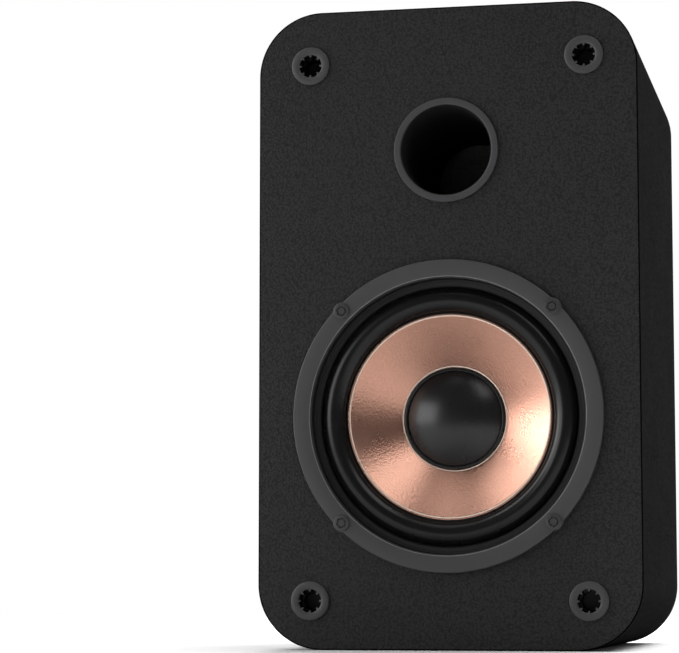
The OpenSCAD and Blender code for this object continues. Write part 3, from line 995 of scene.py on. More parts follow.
@dataclass(frozen=True)
class Fibres(Finish):
    """Loose or pressed fibres: wadding, wood fibre board, felt or open foam."""

    colour: Colour
    length: float = 4 * MM
    depth: float = 0.4 * MM
    contrast: float = 0.3
    sheen: float = 0.0

    def dress(self, graph: Graph) -> bpy.types.Material:
        """Two noises drawn out along different axes cross each other over a broad mottling.

        Args:
            graph: The graph to fill.

        Returns:
            The material.
        """
        one = graph.noise(self.length, 4.0, stretch=(1.0, 4.0, 9.0))
        two = graph.noise(self.length, 4.0, stretch=(8.0, 3.0, 1.2))
        mottle = graph.noise(6 * self.length, 2.0)
        height = one * 0.5 + two * 0.5
        dark, light = tones(self.colour, 1 - self.contrast, 1 + self.contrast)
        amount = (height * 2.0 - 0.75 + mottle * 0.4).within()
        return graph.close(
            Base_Color=graph.blend(dark, light, amount),
            Roughness=(0.85 + mottle * 0.1).within(),
            Specular_IOR_Level=0.2,
            Sheen_Weight=self.sheen,
            Normal=graph.bump(height, self.depth),
        )


DRIVER_AXIS = Extent.of("cone").axis
PORT_AXIS = Extent.of("port_tube").axis
BAFFLE_FACE = Extent.of("front_baffle").front
SOCKET_HALF_PITCH, SOCKET_TOP = Extent.of("grille_socket_top_right").axis
SOCKETS = (Extent.of("grille_socket_bottom_right").axis[1], SOCKET_TOP, BAFFLE_FACE)
# The painted highlight rings on the cone's outer and inner edges: radius and width of each.
CONE_HIGHLIGHT_RINGS = ((37.3 * MM, 0.5 * MM), (19.5 * MM, 0.5 * MM))


@dataclass(frozen=True)
class Palette:
    """Every finish of the speaker."""

    baffle: Finish = OrangePeel("baffle_paint", (0.0135, 0.0135, 0.0138))
    vinyl: Finish = Vinyl("vinyl_wrap", (0.0108, 0.0108, 0.0110))
    rear: Finish = Vinyl("rear_vinyl", (0.0108, 0.0108, 0.0110), fold=1.0)
    board: Finish = Fibres(
        "raw_board", (0.36, 0.24, 0.13), length=1.2 * MM, depth=0.05 * MM, contrast=0.22
    )
    wadding: Finish = Fibres(
        "wadding", (0.78, 0.77, 0.74), length=7 * MM, depth=1.0 * MM, contrast=0.12, sheen=0.4
    )
    # The port's inside colour is painted shade.
    port: Finish = MouldedPort(
        "port_plastic", (0.045, 0.045, 0.047), inside=(0.004, 0.004, 0.004), axis=PORT_AXIS,
        edge=16.9 * MM,
    )
    ring: Finish = Recessed("ring_grey", (0.049, 0.049, 0.0495), sockets=SOCKETS)
    bolt: Finish = BlastedMetal(
        "bolt_grey", (0.05, 0.05, 0.0515), roughness=0.42, grain=0.25 * MM, depth=0.004 * MM,
        tone=0.08, metallic=0.35,
    )
    foam: Finish = Fibres(
        "foam", (0.022, 0.022, 0.023), length=0.7 * MM, depth=0.15 * MM, contrast=0.35
    )
    basket: Finish = OrangePeel(
        "basket_black", (0.016, 0.016, 0.017), droplet=0.4 * MM, depth=0.05 * MM, roughness=0.5,
        gloss=0.35, contrast=0.25,
    )
    gasket: Finish = Plain(
        "moulded_rubber", (0.011, 0.011, 0.0115), roughness=0.55, grain=0.4 * MM, depth=0.01 * MM,
        tone=0.15, gloss=0.35,
    )
    roll: Finish = Plain(
        "roll_rubber", (0.004, 0.004, 0.0042), roughness=0.27, grain=0.6 * MM, depth=0.006 * MM,
        tone=0.2, gloss=0.38,
    )
    cone: Finish = BlastedMetal(
        "cone_copper", (0.66, 0.355, 0.262), roughness=0.28, grain=0.75 * MM, depth=0.1 * MM,
        tone=0.2, axis=DRIVER_AXIS, highlight_rings=CONE_HIGHLIGHT_RINGS,
    )
    cap: Finish = Plain(
        "cap_black", (0.008, 0.008, 0.0084), roughness=0.28, grain=0.25 * MM, depth=0.003 * MM,
        tone=0.15, gloss=0.45, coat=0.25,
    )
    film: Finish = Plain(
        "former_film", (0.62, 0.36, 0.10), roughness=0.3, grain=1.0 * MM, depth=0.004 * MM,
        tone=0.1, gloss=0.5, coat=0.4,
    )
    coil: Finish = BlastedMetal(
        "coil_copper", (0.80, 0.42, 0.22), roughness=0.28, grain=0.5 * MM, depth=0.004 * MM,
        tone=0.1,
    )
    spider: Finish = Woven("spider_cloth", (0.62, 0.38, 0.13), pitch=0.5 * MM, axis=DRIVER_AXIS)
    steel: Finish = BlastedMetal(
        "zinc_steel", (0.66, 0.67, 0.68), roughness=0.3, grain=0.8 * MM, depth=0.006 * MM,
        tone=0.08, metallic=0.95,
    )
    ferrite: Finish = Plain(
        "ferrite", (0.035, 0.035, 0.037), roughness=0.45, grain=0.5 * MM, depth=0.03 * MM,
        tone=0.3, gloss=0.5,
    )
    laminate: Finish = Woven(
        "board_phenolic", (0.30, 0.13, 0.05), pitch=0.6 * MM, axis=None, roughness=0.4
    )
    tinned: Finish = BlastedMetal(
        "tinned_brass", (0.80, 0.74, 0.60), roughness=0.32, grain=0.3 * MM, depth=0.006 * MM,
        tone=0.1,
    )
    gilt: Finish = BlastedMetal(
        "gilt_brass", (0.95, 0.72, 0.34), roughness=0.22, grain=0.5 * MM, depth=0.003 * MM,
        tone=0.05,
    )
    cup: Finish = Plain(
        "cup_plastic", (0.009, 0.009, 0.0093), roughness=0.5, grain=0.45 * MM, depth=0.03 * MM,
        tone=0.2, gloss=0.22,
    )
    screw: Finish = BlastedMetal(
        "screw_black", (0.06, 0.06, 0.063), roughness=0.34, grain=0.3 * MM, depth=0.004 * MM,
        tone=0.1, metallic=0.5,
    )
    post_red: Finish = Plain(
        "post_red", (0.30, 0.010, 0.008), roughness=0.3, grain=0.6 * MM, depth=0.004 * MM,
        tone=0.1, gloss=0.45, coat=0.15,
    )
    post_black: Finish = Plain(
        "post_black", (0.012, 0.012, 0.0125), roughness=0.26, grain=0.6 * MM, depth=0.003 * MM,
        tone=0.1, gloss=0.5, coat=0.3,
    )
    wire_red: Finish = Plain(
        "wire_red_pvc", (0.48, 0.02, 0.015), roughness=0.35, grain=0.8 * MM, depth=0.004 * MM,
        tone=0.08, gloss=0.5,
    )
    wire_black: Finish = Plain(
        "wire_black_pvc", (0.014, 0.014, 0.015), roughness=0.35, grain=0.8 * MM, depth=0.004 * MM,
        tone=0.12, gloss=0.5,
    )


PALETTE = Palette()


# ---------------------------------------------------------------------------------------------
# The speaker
# ---------------------------------------------------------------------------------------------


@dataclass
class Cabinet:
    """The box: baffle, bent shell, wrap, rear panel and the wadding behind the port."""

    corner: float = 24 * MM
    film: float = 0.5 * MM
    lip: float = 0.32 * MM

    def wrap(self) -> bpy.types.Object:
        """Carries the film's section round the cabinet's outline.

        The section is the film's thickness by the cabinet's depth, with its corners rounded, so
        that a fine groove is left beside the baffle and the rear panel.

        Returns:
            The wrap.
        """
        box = Extent.of("side_wrap")
        y0, y1, t = box.front, box.back, self.film
        section = soften([(0, y0), (0, y1), (t, y1), (t, y0)], self.lip, 6)
        half = (box.radius, float(box.size[2] / 2))
        grid = rounded_frame(box.middle, half, self.corner, section[:, 0], section[:, 1], 40)
        return make_piece("side_wrap_film", [grid], PALETTE.vinyl, CABINET, ["side_wrap"])

    def wadding(self) -> bpy.types.Object:
        """Lofts the wadding from its middle to its edge and back.

        Ring k has scale s, and its outline is (sgn cos |cos|^0.4, sgn sin |sin|^0.4) times the half
        sizes. The thickness follows (1 - s^6)^0.5. The outline is 4 % smaller at the middles of the
        sides than at the corners, and products of sines rumple the front by 7 % of half the thickness.

        Returns:
            The wadding, as a padded piece.
        """
        box = Extent.of("damping_mat")
        half, middle = box.size / 2 * 0.985, box.middle
        v = np.linspace(-1, 1, 81)[:, None]
        s = np.sin((1 - np.abs(v)) * TAU / 4) ** 0.8
        s = np.where(np.abs(v) == 1, 0.0, s)
        a = angles(160)[None, :]
        bow = 1 - 0.04 * np.cos(2 * a) ** 2
        x = middle[0] + half[0] * s * bow * np.sign(np.cos(a)) * np.abs(np.cos(a)) ** 0.4
        z = middle[2] + half[2] * s * bow * np.sign(np.sin(a)) * np.abs(np.sin(a)) ** 0.4
        crown = np.sqrt(np.clip(1 - s**6, 0, 1))
        rumple = np.sin(x * 190 + np.sin(z * 120)) * np.sin(z * 170 + 1.3 * np.sin(x * 90))
        y = middle[1] + np.sign(v) * half[1] * crown * (0.93 + 0.07 * rumple * (v < 0))
        grid = Grid(np.stack([x, np.broadcast_to(y, x.shape), z], -1), closed_rows=False)
        piece = make_piece("damping_wadding", [grid], PALETTE.wadding, CABINET, ["damping_mat"])
        return piece

    def build(self) -> None:
        """Makes and dresses the whole box."""
        dress_node("front_baffle", PALETTE.baffle)
        dress_node("cabinet_shell", PALETTE.board)
        dress_node("rear_panel", PALETTE.rear)
        self.wrap()
        self.wadding()


@dataclass
class PortTube:
    """The reflex port, with its flange in front and its flare inside."""

    bore: float = 16.6 * MM
    wall: float = 1.8 * MM
    lip: float = 0.6 * MM
    flange: float = 19.5 * MM
    flare: float = 3 * MM
    flare_length: float = 8 * MM

    def build(self) -> None:
        """Turns the tube's section, with a smooth flare at the inner end."""
        box = Extent.of("port_tube")
        y0, y2 = box.front, box.back
        y1, r, w = BAFFLE_FACE, self.bore, self.wall
        u = np.linspace(0, 1, 12)[:, None]
        outer = np.hstack([r + w + self.flare * u**2, y2 - self.flare_length * (1 - u)])
        inner = np.hstack([r + self.flare * u[::-1] ** 2, y2 - self.flare_length * (1 - u[::-1])])
        corners = [
            (r, y1 + 2 * MM), (r, y1 - 0.1 * MM), (r + self.lip, y0),
            (self.flange, y0), (self.flange, y1), (r + w, y1),
        ]
        steps = 6
        front = soften(corners, 0.35 * MM, steps)[steps:-steps]
        profile = np.concatenate([front, [[r + w, y1]], outer, inner])
        grid = Lathe.through("port_tube", 192).spin(profile)
        make_piece("reflex_port", [grid], PALETTE.port, CABINET, ["port_tube"])


@dataclass
class GrilleSocket:
    """One of the four cups that hold the grille's pegs."""

    corner: Corner
    body: float = 5.4 * MM
    mouth: float = 4.25 * MM
    seat: float = 3.4 * MM
    ribs: int = 8
    rib_width: float = 0.6 * MM
    stop: float = 5 * MM
    floor: float = 11 * MM

    def build(self) -> None:
        """Turns the cup. Its mouth's radius drops to the seat's at each rib, with steep flanks."""
        node = f"grille_socket_{self.corner.value}"
        box, lathe = Extent.of(node), Lathe.through(node, 24 * self.ribs)
        y0, y2, flange, face = box.front, box.back, box.radius, BAFFLE_FACE
        step = TAU / self.ribs
        off = np.abs(np.mod(lathe.turn + step / 2, step) - step / 2) * self.seat
        rib = np.clip((self.rib_width / 2 - off) / (0.12 * MM) + 0.5, 0, 1)
        ribbed = self.mouth - (self.mouth - self.seat) * rib
        rows = [
            (0, y2), (self.body - 0.3 * MM, y2), (self.body, y2 - 0.3 * MM), (self.body, face),
            (flange, face), (flange, y0 + 0.35 * MM), (flange - 0.08 * MM, y0 + 0.14 * MM),
            (flange - 0.3 * MM, y0), (self.mouth + 0.55 * MM, y0),
            (self.mouth + 0.3 * MM, y0 + 0.12 * MM), (ribbed + 0.1 * MM, y0 + 0.3 * MM),
            (ribbed, y0 + 0.45 * MM), (ribbed, face + self.stop), (self.seat, face + self.stop),
            (self.seat, face + self.floor), (0, face + self.floor),
        ]
        grid = lathe.spin(rows, closed=False)
        make_piece(f"peg_socket_{self.corner.value}", [grid], PALETTE.ring, CABINET, [node])


@dataclass
class Driver:
    """The drive unit, from its trim ring to its magnet, on one axis."""

    ears: int = 4
    ear: float = 3.3 * MM
    screw_circle: float = 55.3 * MM
    ring_radius: float = 57.5 * MM
    opening: float = 51.2 * MM
    screw_head: float = 2.95 * MM
    shank: float = 1.75 * MM
    hexagon: float = 1.7 * MM
    roll: float = 4.3 * MM
    roll_middle: float = 43.2 * MM
    coil_turns: int = 26
    rubber: float = 0.5 * MM
    cone_wall: float = 0.4 * MM
    cone_neck: float = 13.05 * MM
    cone_flat: float = 1 * MM
    cap_rise: float = 5.5 * MM
    face: float = BAFFLE_FACE

    def lathe(self, segments: int = 256) -> Lathe:
        """The driver's axis."""
        return Lathe(*DRIVER_AXIS, segments)

    def trim_ring(self) -> None:
        """Turns the ring, whose outline is the smooth maximum of its circle and its ears.

        An ear's radius at angle a from its middle is c cos a + sqrt(e^2 - c^2 sin^2 a), for a screw
        circle c and an ear of radius e. The smooth maximum of p and q is k ln(e^(p/k) + e^(q/k)).
        """
        lathe = self.lathe(768)
        step = TAU / self.ears
        a = np.mod(lathe.turn, step) - step / 2
        inside = self.ear**2 - (self.screw_circle * np.sin(a)) ** 2
        ear = self.screw_circle * np.cos(a) + np.sqrt(np.maximum(inside, 0))
        k = 0.12 * MM
        merged = k * np.logaddexp(self.ring_radius / k, ear / k)
        outline = np.where(inside > 0, merged, self.ring_radius)
        y0, hole = Extent.of("trim_ring").front, self.opening
        edge = 0.45 * MM
        rows = [
            (outline, self.face),
            *((outline - edge * (1 - math.sin(v)), y0 + edge * (1 - math.cos(v)))
              for v in np.linspace(0, TAU / 4, 7)[::-1]),
            (hole + 0.35 * MM, y0), (hole + 0.1 * MM, y0 + 0.08 * MM), (hole, y0 + 0.3 * MM),
            (hole - 0.4 * MM, y0 + 1.4 * MM), (hole - 0.4 * MM, self.face),
        ]
        make_piece("driver_trim_ring", [lathe.spin(rows)], PALETTE.ring, CABINET, ["trim_ring"])

    def screws(self) -> None:
        """Turns four screws: a chamfered head with a hexagon recess, and a threaded shank."""
        box, head = Extent.of("driver_screws"), self.screw_head
        y0, end = box.front, box.back
        grids = []
        for number in range(self.ears):
            at = (number + 0.5) * TAU / self.ears
            x = DRIVER_AXIS[0] + self.screw_circle * math.cos(at)
            z = DRIVER_AXIS[1] + self.screw_circle * math.sin(at)
            axis = Lathe(x, z, 96)
            key = self.hexagon * hexagon(axis.turn + at)
            shank = np.linspace(y0 + 1.2 * MM, end - 0.6 * MM, 150)
            turns = self.shank - 0.3 * MM + thread(axis.turn, shank, 0.7 * MM, 0.28 * MM)
            rows = [
                (0, y0 + 0.12 * MM), (key * 0.7, y0 + 0.12 * MM), (key * 0.76, y0 + 0.55 * MM),
                (key * 0.97, y0 + 0.55 * MM), (key, y0 + 0.06 * MM), (key + 0.06 * MM, y0),
                (head - 0.2 * MM, y0), (head - 0.05 * MM, y0 + 0.06 * MM), (head, y0 + 0.2 * MM),
                (head, y0 + 0.32 * MM), (head - 0.5 * MM, y0 + 0.45 * MM),
                (head - 0.5 * MM, y0 + 0.7 * MM), (self.shank, y0 + 0.7 * MM),
                *zip(turns, shank), (self.shank - 0.6 * MM, end), (0, end),
            ]
            grids.append(axis.spin(rows, closed=False))
        make_piece("driver_bolts", grids, PALETTE.bolt, CABINET, ["driver_screws"])

    def seal(self) -> None:
        """Turns the stepped rubber ring that clamps the surround's lip."""
        corners = [
            (47.9, 5), (50.7, 5), (50.7, 2.9), (49.9, 2.9), (49.7, 3.4), (48.4, 3.4), (47.9, 3.9),
        ]
        grid = self.lathe().spin(soften(np.array(corners) * MM + [0, self.face], 0.16 * MM))
        make_piece("surround_seal", [grid], PALETTE.gasket, CABINET, ["surround_gasket"])

    def flexing(self, piece: bpy.types.Object) -> None:
        """Bakes a ring's placement into its mesh and reads its points, without moving them.

        Args:
            piece: The ring.
        """
        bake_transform(piece)
        points = np.empty(3 * len(piece.data.vertices))
        piece.data.vertices.foreach_get("co", points)
        points = points.reshape(-1, 3)

    def surround(self) -> None:
        """Turns the half roll and its two lips, 0.5 mm thick.

        The roll is r = m - R cos a and y = y0 - R sin a, for a from 0 to 180 deg.
        """
        thick, m, back = self.rubber, self.roll_middle, Extent.of("surround").back
        a = np.linspace(0, TAU / 2, 49)[:, None]
        outer_r, inner_r = self.roll + thick / 2, self.roll - thick / 2
        low, high = 37.2 * MM, 50.7 * MM
        front = np.hstack([m - outer_r * np.cos(a), back - outer_r * np.sin(a)])
        front[:, 1] = np.minimum(front[:, 1], back - thick)
        behind = np.hstack([m - inner_r * np.cos(a), back - inner_r * np.sin(a)])[::-1]
        lips = [[low + 0.1 * MM, back], [low, back - thick / 2], [low + 0.1 * MM, back - thick]]
        ends = [[high, back - thick], [high, back]]
        profile = np.concatenate([lips, front, ends, behind])
        grid = self.lathe().spin(profile)
        piece = make_piece("rubber_surround", [grid], PALETTE.roll, None, ["surround"])
        self.flexing(piece)

    def cone(self) -> None:
        """Turns the straight-sided cone, with a flat rim 1 mm wide."""
        box = Extent.of("cone")
        y0, y1, big, neck = box.front, box.back, box.radius, self.cone_neck
        flat, wall = big - self.cone_flat, self.cone_wall
        corners = [
            (big, y0), (big, y0 + wall), (flat, y0 + wall),
            (neck, y1), (neck, y1 - 2 * wall), (flat, y0),
        ]
        radii = np.array([0.14, 0.14, 0.3, 0.1, 0.1, 0.3]) * MM
        grid = self.lathe(320).spin(soften(corners, radii))
        make_piece("copper_cone", [grid], PALETTE.cone, CONE_BODY, ["cone"])

    def dust_cap(self) -> None:
        """Turns the cap: a spherical dome inside a raised rim.

        The dome is r = R sin a and y = top + R (1 - cos a), with R = (e^2 + h^2) / 2h for an edge
        radius e and a rise h.
        """
        box = Extent.of("dust_cap")
        big, rise, wall = box.radius, self.cap_rise, 0.5 * MM
        edge = big - 1.1 * MM
        sphere = (edge**2 + rise**2) / (2 * rise)
        base = Extent.of("cone").front + (37.1 * MM - big) * 17 / 24.1 - 0.2 * MM
        a = np.linspace(0, math.asin(edge / sphere), 40)[:, None]
        dome, under = (
            np.hstack([r * np.sin(a), base - rise + sphere - r * np.cos(a)])
            for r in (sphere, sphere - wall)
        )
        foot = base + 0.2 * MM
        corners = [
            (edge, foot), (edge + 0.05 * MM, foot - 0.5 * MM), (edge + 0.25 * MM, foot - 0.8 * MM),
            (big - 0.25 * MM, foot - 0.8 * MM), (big, foot - 0.55 * MM), (big, foot),
            (edge, foot + 1.0 * MM),
        ]
        steps = 5
        rim = soften(corners, 0.22 * MM, steps)[steps:-steps]
        grid = self.lathe().spin(np.concatenate([dome, rim, under[::-1]]), closed=False)
        make_piece("black_dust_cap", [grid], PALETTE.cap, CONE_BODY, ["dust_cap"])

    def motor(self) -> None:
        """Turns the former, top plate, magnet, wound coil and the pole with its yoke."""
        for node, name, inner, bevel, finish, body in (
            ("voice_coil_former", "coil_former", 12.7, 0.05, PALETTE.film, CONE_BODY),
            ("top_plate", "front_plate", 13.9, 0.5, PALETTE.steel, CABINET),
            ("magnet", "ferrite_magnet", 16.0, 1.1, PALETTE.ferrite, CABINET),
        ):
            section = ring_section(Extent.of(node), inner * MM, bevel * MM, 6)
            make_piece(name, [self.lathe().spin(section)], finish, body, [node])
        coil = Extent.of("voice_coil")
        y = np.linspace(coil.front, coil.back, 10 * self.coil_turns + 1)
        phase = (y - coil.front) / (coil.back - coil.front) * self.coil_turns
        wound = coil.radius - 0.12 * MM * (1 - np.abs(np.sin(phase * TAU / 2)))
        inner = coil.radius - 0.5 * MM
        profile = [*zip(wound, y), (inner, coil.back), (inner, coil.front)]
        grid = self.lathe(128).spin(profile)
        make_piece("wound_coil", [grid], PALETTE.coil, CONE_BODY, ["voice_coil"])
        yoke = Extent.of("pole_yoke")
        pole, vent, plate = 12.2 * MM, 4 * MM, yoke.back - 4 * MM
        corners = [
            (vent, yoke.front), (pole, yoke.front), (pole, plate),
            (yoke.radius, plate), (yoke.radius, yoke.back), (vent, yoke.back),
        ]
        grid = self.lathe().spin(soften(corners, 0.6 * MM))
        make_piece("pole_and_yoke", [grid], PALETTE.steel, CABINET, ["pole_yoke"])

    def spider(self) -> None:
        """Turns the spider: y = y0 + A sin(2 pi n (r - r0) / L), 0.5 mm thick, then a flat lip."""
        box = Extent.of("spider")
        inner, outer, lip, thick = 13 * MM, box.radius, 3 * MM, 0.5 * MM
        middle = Extent.of("cone").front + 18.8 * MM
        r = np.linspace(inner, outer - lip, 97)
        y = middle + 1.1 * MM * np.sin(4 * TAU * (r - inner) / (outer - lip - inner))
        ledge = middle + 0.6 * MM
        front = [*zip(r, y - thick / 2), (outer, ledge - thick)]
        behind = [*zip(r, y + thick / 2), (outer, ledge)]
        grid = self.lathe().spin(front + behind[::-1])
        piece = make_piece("cloth_spider", [grid], PALETTE.spider, None, ["spider"])
        self.flexing(piece)

    def leads(self) -> None:
        """Sweeps the two braided leads from the cone's back to the tags, each along its leg.

        A lead starts on the diagonal, out from the axis, and is shifted across it to the side on
        which its node lies.
        """
        corners = [(20, 17.3), (24, 18.6), (29, 19.2), (33, 20.4), (38, 22.2), (41.2, 24.6)]
        out, depth = (np.array(corners) * MM).T
        half = math.sqrt(0.5)
        for side, sign in (("positive", 1), ("negative", -1)):
            node = f"tinsel_lead_{side}"
            across = sign * 7.5 * MM
            ways = [
                np.stack([
                    DRIVER_AXIS[0] + half * (out - flip * across), self.face + depth,
                    DRIVER_AXIS[1] - half * (out + flip * across),
                ], 1)
                for flip in (1, -1)
            ]
            middle = Extent.of(node).middle
            nearest = min(ways, key=lambda p: np.abs((p.min(0) + p.max(0)) / 2 - middle).sum())
            line = smooth_route(nearest, 16)
            grid = tube(line, 0.6 * MM, 18, strands=6, relief=0.16, lay=7 * MM)
            piece = make_piece(f"braided_lead_{side}", [grid], PALETTE.tinned, None, [node])
            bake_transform(piece)

    def build(self) -> None:
        """Makes and dresses the whole driver."""
        for make in (
            self.trim_ring, self.screws, self.seal, self.surround, self.cone, self.dust_cap,
            self.motor, self.spider, self.leads,
        ):
            make()
        for node, finish in (
            ("driver_nuts", PALETTE.steel), ("driver_gasket", PALETTE.foam),
            ("basket", PALETTE.basket), ("tag_board", PALETTE.laminate),
            ("tag_rivet", PALETTE.steel), ("driver_tags", PALETTE.tinned),
        ):
            dress_node(node, finish)


@dataclass
class BindingPost:
    """One binding post: stud, collar, washer and a fluted knob with its insert."""

    post: Post
    flutes: int = 18
    flute: float = 0.55 * MM

    @property
    def finish(self) -> Finish:
        """The plastic of this post's knob and collar."""
        return PALETTE.post_red if self.post is Post.RED else PALETTE.post_black

    def ring_piece(
        self, part: str, name: str, inner: float, bevel: float, finish: Finish, body: str
    ) -> None:
        """Turns a plain ring in place of a node.

        Args:
            part: The node's name after the post's colour.
            name: The piece's name after the post's colour.
            inner: The hole's radius.
            bevel: The rounding of its edges.
            finish: Its finish.
            body: The body that it rides on.
        """
        node = f"{self.post.value}_{part}"
        grid = Lathe.through(node, 128).spin(ring_section(Extent.of(node), inner, bevel, 5))
        make_piece(f"{self.post.value}_{name}", [grid], finish, body, [node])

    def knob(self) -> None:
        """Turns the knob.

        A flute is a circle of radius f centred just outside the knob, at c. The knob's radius there
        is c cos a - sqrt(f^2 - c^2 sin^2 a) at angle a, and it fades in above the smooth skirt.
        """
        node = f"{self.post.value}_knob"
        box, lathe = Extent.of(node), Lathe.through(node, 18 * self.flutes)
        r, y0, y1 = box.radius, box.front, box.back
        step = TAU / self.flutes
        a = np.mod(lathe.turn + step / 2, step) - step / 2
        c = r + 0.1 * MM
        inside = self.flute**2 - (c * np.sin(a)) ** 2
        cut = np.minimum(r, c * np.cos(a) - np.sqrt(np.maximum(inside, 0)))
        fluted = np.where(inside > 0, cut, r)
        skirt, hole, insert = y0 + 1.5 * MM, 2.3 * MM, 4.05 * MM
        chamber, seat = 3.3 * MM, y0 + 8 * MM
        rows = [
            (insert, y0), (r - 0.25 * MM, y0), (r, y0 + 0.25 * MM), (r, skirt - 0.1 * MM),
            (r * 0.4 + fluted * 0.6, skirt + 0.15 * MM), (fluted, skirt + 0.4 * MM),
            (fluted, y1 - 1.0 * MM), (np.minimum(fluted, r - 0.18 * MM), y1 - 0.6 * MM),
            (np.minimum(fluted, r - 0.45 * MM) - 0.05 * MM, y1 - 0.22 * MM),
            (r - 1.1 * MM, y1 - 0.04 * MM), (r - 1.5 * MM, y1), (hole + 0.35 * MM, y1),
            (hole + 0.08 * MM, y1 - 0.12 * MM), (hole, y1 - 0.4 * MM), (hole, y1 - 1.6 * MM),
            (chamber, y1 - 1.6 * MM), (chamber, seat), (insert, seat),
        ]
        grid = lathe.spin(rows)
        name, body = f"{self.post.value}_fluted_knob", f"{self.post.value}_cap"
        make_piece(name, [grid], self.finish, body, [node])

    def build(self) -> None:
        """Makes and dresses the post."""
        colour = self.post.value
        bore, bevel, gilt = 3.05 * MM, 0.15 * MM, PALETTE.gilt
        dress_node(f"{colour}_stud", gilt)
        self.ring_piece("collar", "insulating_collar", 3.0 * MM, 0.4 * MM, self.finish, CABINET)
        self.ring_piece("washer", "clamp_washer", bore, bevel, gilt, f"{colour}_clamp")
        self.knob()
        self.ring_piece("knob_insert", "threaded_insert", bore, bevel, gilt, f"{colour}_cap")
        dress_node(f"{colour}_bush", PALETTE.cup)
        dress_node(f"{colour}_tab", PALETTE.steel)


@dataclass
class TerminalCup:
    """The moulded cup in the back, its gasket and its four screws."""

    flange_corner: float = 6 * MM
    recess: float = 46 * MM
    wall: float = 2 * MM
    screw_head: float = 2.9 * MM

    def shell(self) -> None:
        """Carries the cup's section in from its flange's edge to the middle of its floor.

        Each row is a rounded rectangle inset from the flange's outline. The last rows close the
        floor and the underside on the centre line.
        """
        box = Extent.of("terminal_cup")
        half = box.radius
        inner, outer = half - self.recess / 2, half - self.recess / 2 - self.wall
        face, floor, under = box.back, box.front + self.wall, box.front
        seat = face - 2 * MM
        corners = [
            (half - 0.01 * MM, under), (outer + 0.6 * MM, under), (outer, under + 0.6 * MM),
            (outer, seat), (0, seat), (0, face), (inner, face), (inner, floor),
            (half - 0.01 * MM, floor),
        ]
        radii = np.array([0.01, 0.5, 0.5, 0.3, 0.3, 0.7, 0.6, 0.9, 0.01]) * MM
        inset, y = soften(corners, radii, 7).T
        grid = rounded_frame(box.middle, (half, half), self.flange_corner, inset, y, 14)
        self.bore(make_piece("moulded_cup", [grid], PALETTE.cup, CABINET, ["terminal_cup"]), face)

    def bore(self, cup: bpy.types.Object, face: float) -> None:
        """Cuts the four countersunk holes.

        Args:
            cup: The cup.
            face: The depth of the flange's face.
        """
        head, hole = 3.0 * MM, 1.7 * MM
        section = [
            (0, face + 1 * MM), (head, face + 1 * MM), (head, face), (hole, face - 1.4 * MM),
            (hole, face - 3 * MM), (0, face - 3 * MM),
        ]
        drills = [Lathe(x, z, 64).spin(section, closed=False) for x, z in self.screw_places()]
        cutter = add_object("countersinks", make_mesh("countersinks", drills))
        cut = cup.modifiers.new("countersinks", "BOOLEAN")
        cut.object, cut.operation, cut.solver = cutter, "DIFFERENCE", "EXACT"
        bpy.context.view_layer.update()
        evaluated = cup.evaluated_get(bpy.context.evaluated_depsgraph_get())
        done = bpy.data.meshes.new_from_object(evaluated)
        cup.modifiers.clear()
        cup.data = done
        smooth_shade(done)
        bpy.data.objects.remove(cutter)

    def screw_places(self) -> list[Axis]:
        """The centres of the four screws, from the box that holds their heads."""
        box = Extent.of("cup_screws")
        low, high = box.low + self.screw_head, box.high - self.screw_head
        return [(float(x), float(z)) for x in (low[0], high[0]) for z in (low[2], high[2])]

    def screws(self) -> None:
        """Turns four countersunk screws, each with a cross recess and a threaded shank."""
        box = Extent.of("cup_screws")
        head, y0 = box.back, box.front
        grids = []
        for x, z in self.screw_places():
            axis = Lathe(x, z, 128)
            turned = axis.turn + 0.3
            cross = cross_slot(turned, 1.8 * MM, 0.42 * MM)
            tip = cross_slot(turned, 0.7 * MM, 0.35 * MM)
            shank = np.linspace(head - 2.0 * MM, y0 + 1.6 * MM, 70)
            turns = 1.2 * MM + thread(axis.turn, shank, 1.1 * MM, 0.28 * MM)
            rows = [
                (0, head - 1.1 * MM), (tip, head - 1.1 * MM), (cross, head - 0.1 * MM),
                (cross + 0.06 * MM, head), (self.screw_head - 0.12 * MM, head),
                (self.screw_head, head - 0.12 * MM), (1.55 * MM, head - 1.4 * MM),
                *zip(turns, shank), (0, y0),
            ]
            grids.append(axis.spin(rows, closed=False))
        make_piece("cup_cross_screws", grids, PALETTE.screw, CABINET, ["cup_screws"])

    def build(self) -> None:
        """Makes and dresses the cup, its screws and its gasket."""
        self.shell()
        self.screws()
        dress_node("cup_gasket", PALETTE.foam)
        dress_node("stud_nuts", PALETTE.steel)


@dataclass
class Wiring:
    """The two wires inside and the connectors at their ends."""

    def build(self) -> None:
        """Dresses the connectors, and smooths and dresses the wires."""
        dress_node("push_on_connectors", PALETTE.steel)
        for node, finish in (("wire_red", PALETTE.wire_red), ("wire_black", PALETTE.wire_black)):
            wire = dress_node(node, finish)
            weld = wire.modifiers.new("merge", "WELD")
            weld.merge_threshold = 1e-5
            smooth = wire.modifiers.new("round", "SUBSURF")
            smooth.levels = smooth.render_levels = 1


# ---------------------------------------------------------------------------------------------
# The studio
# ---------------------------------------------------------------------------------------------


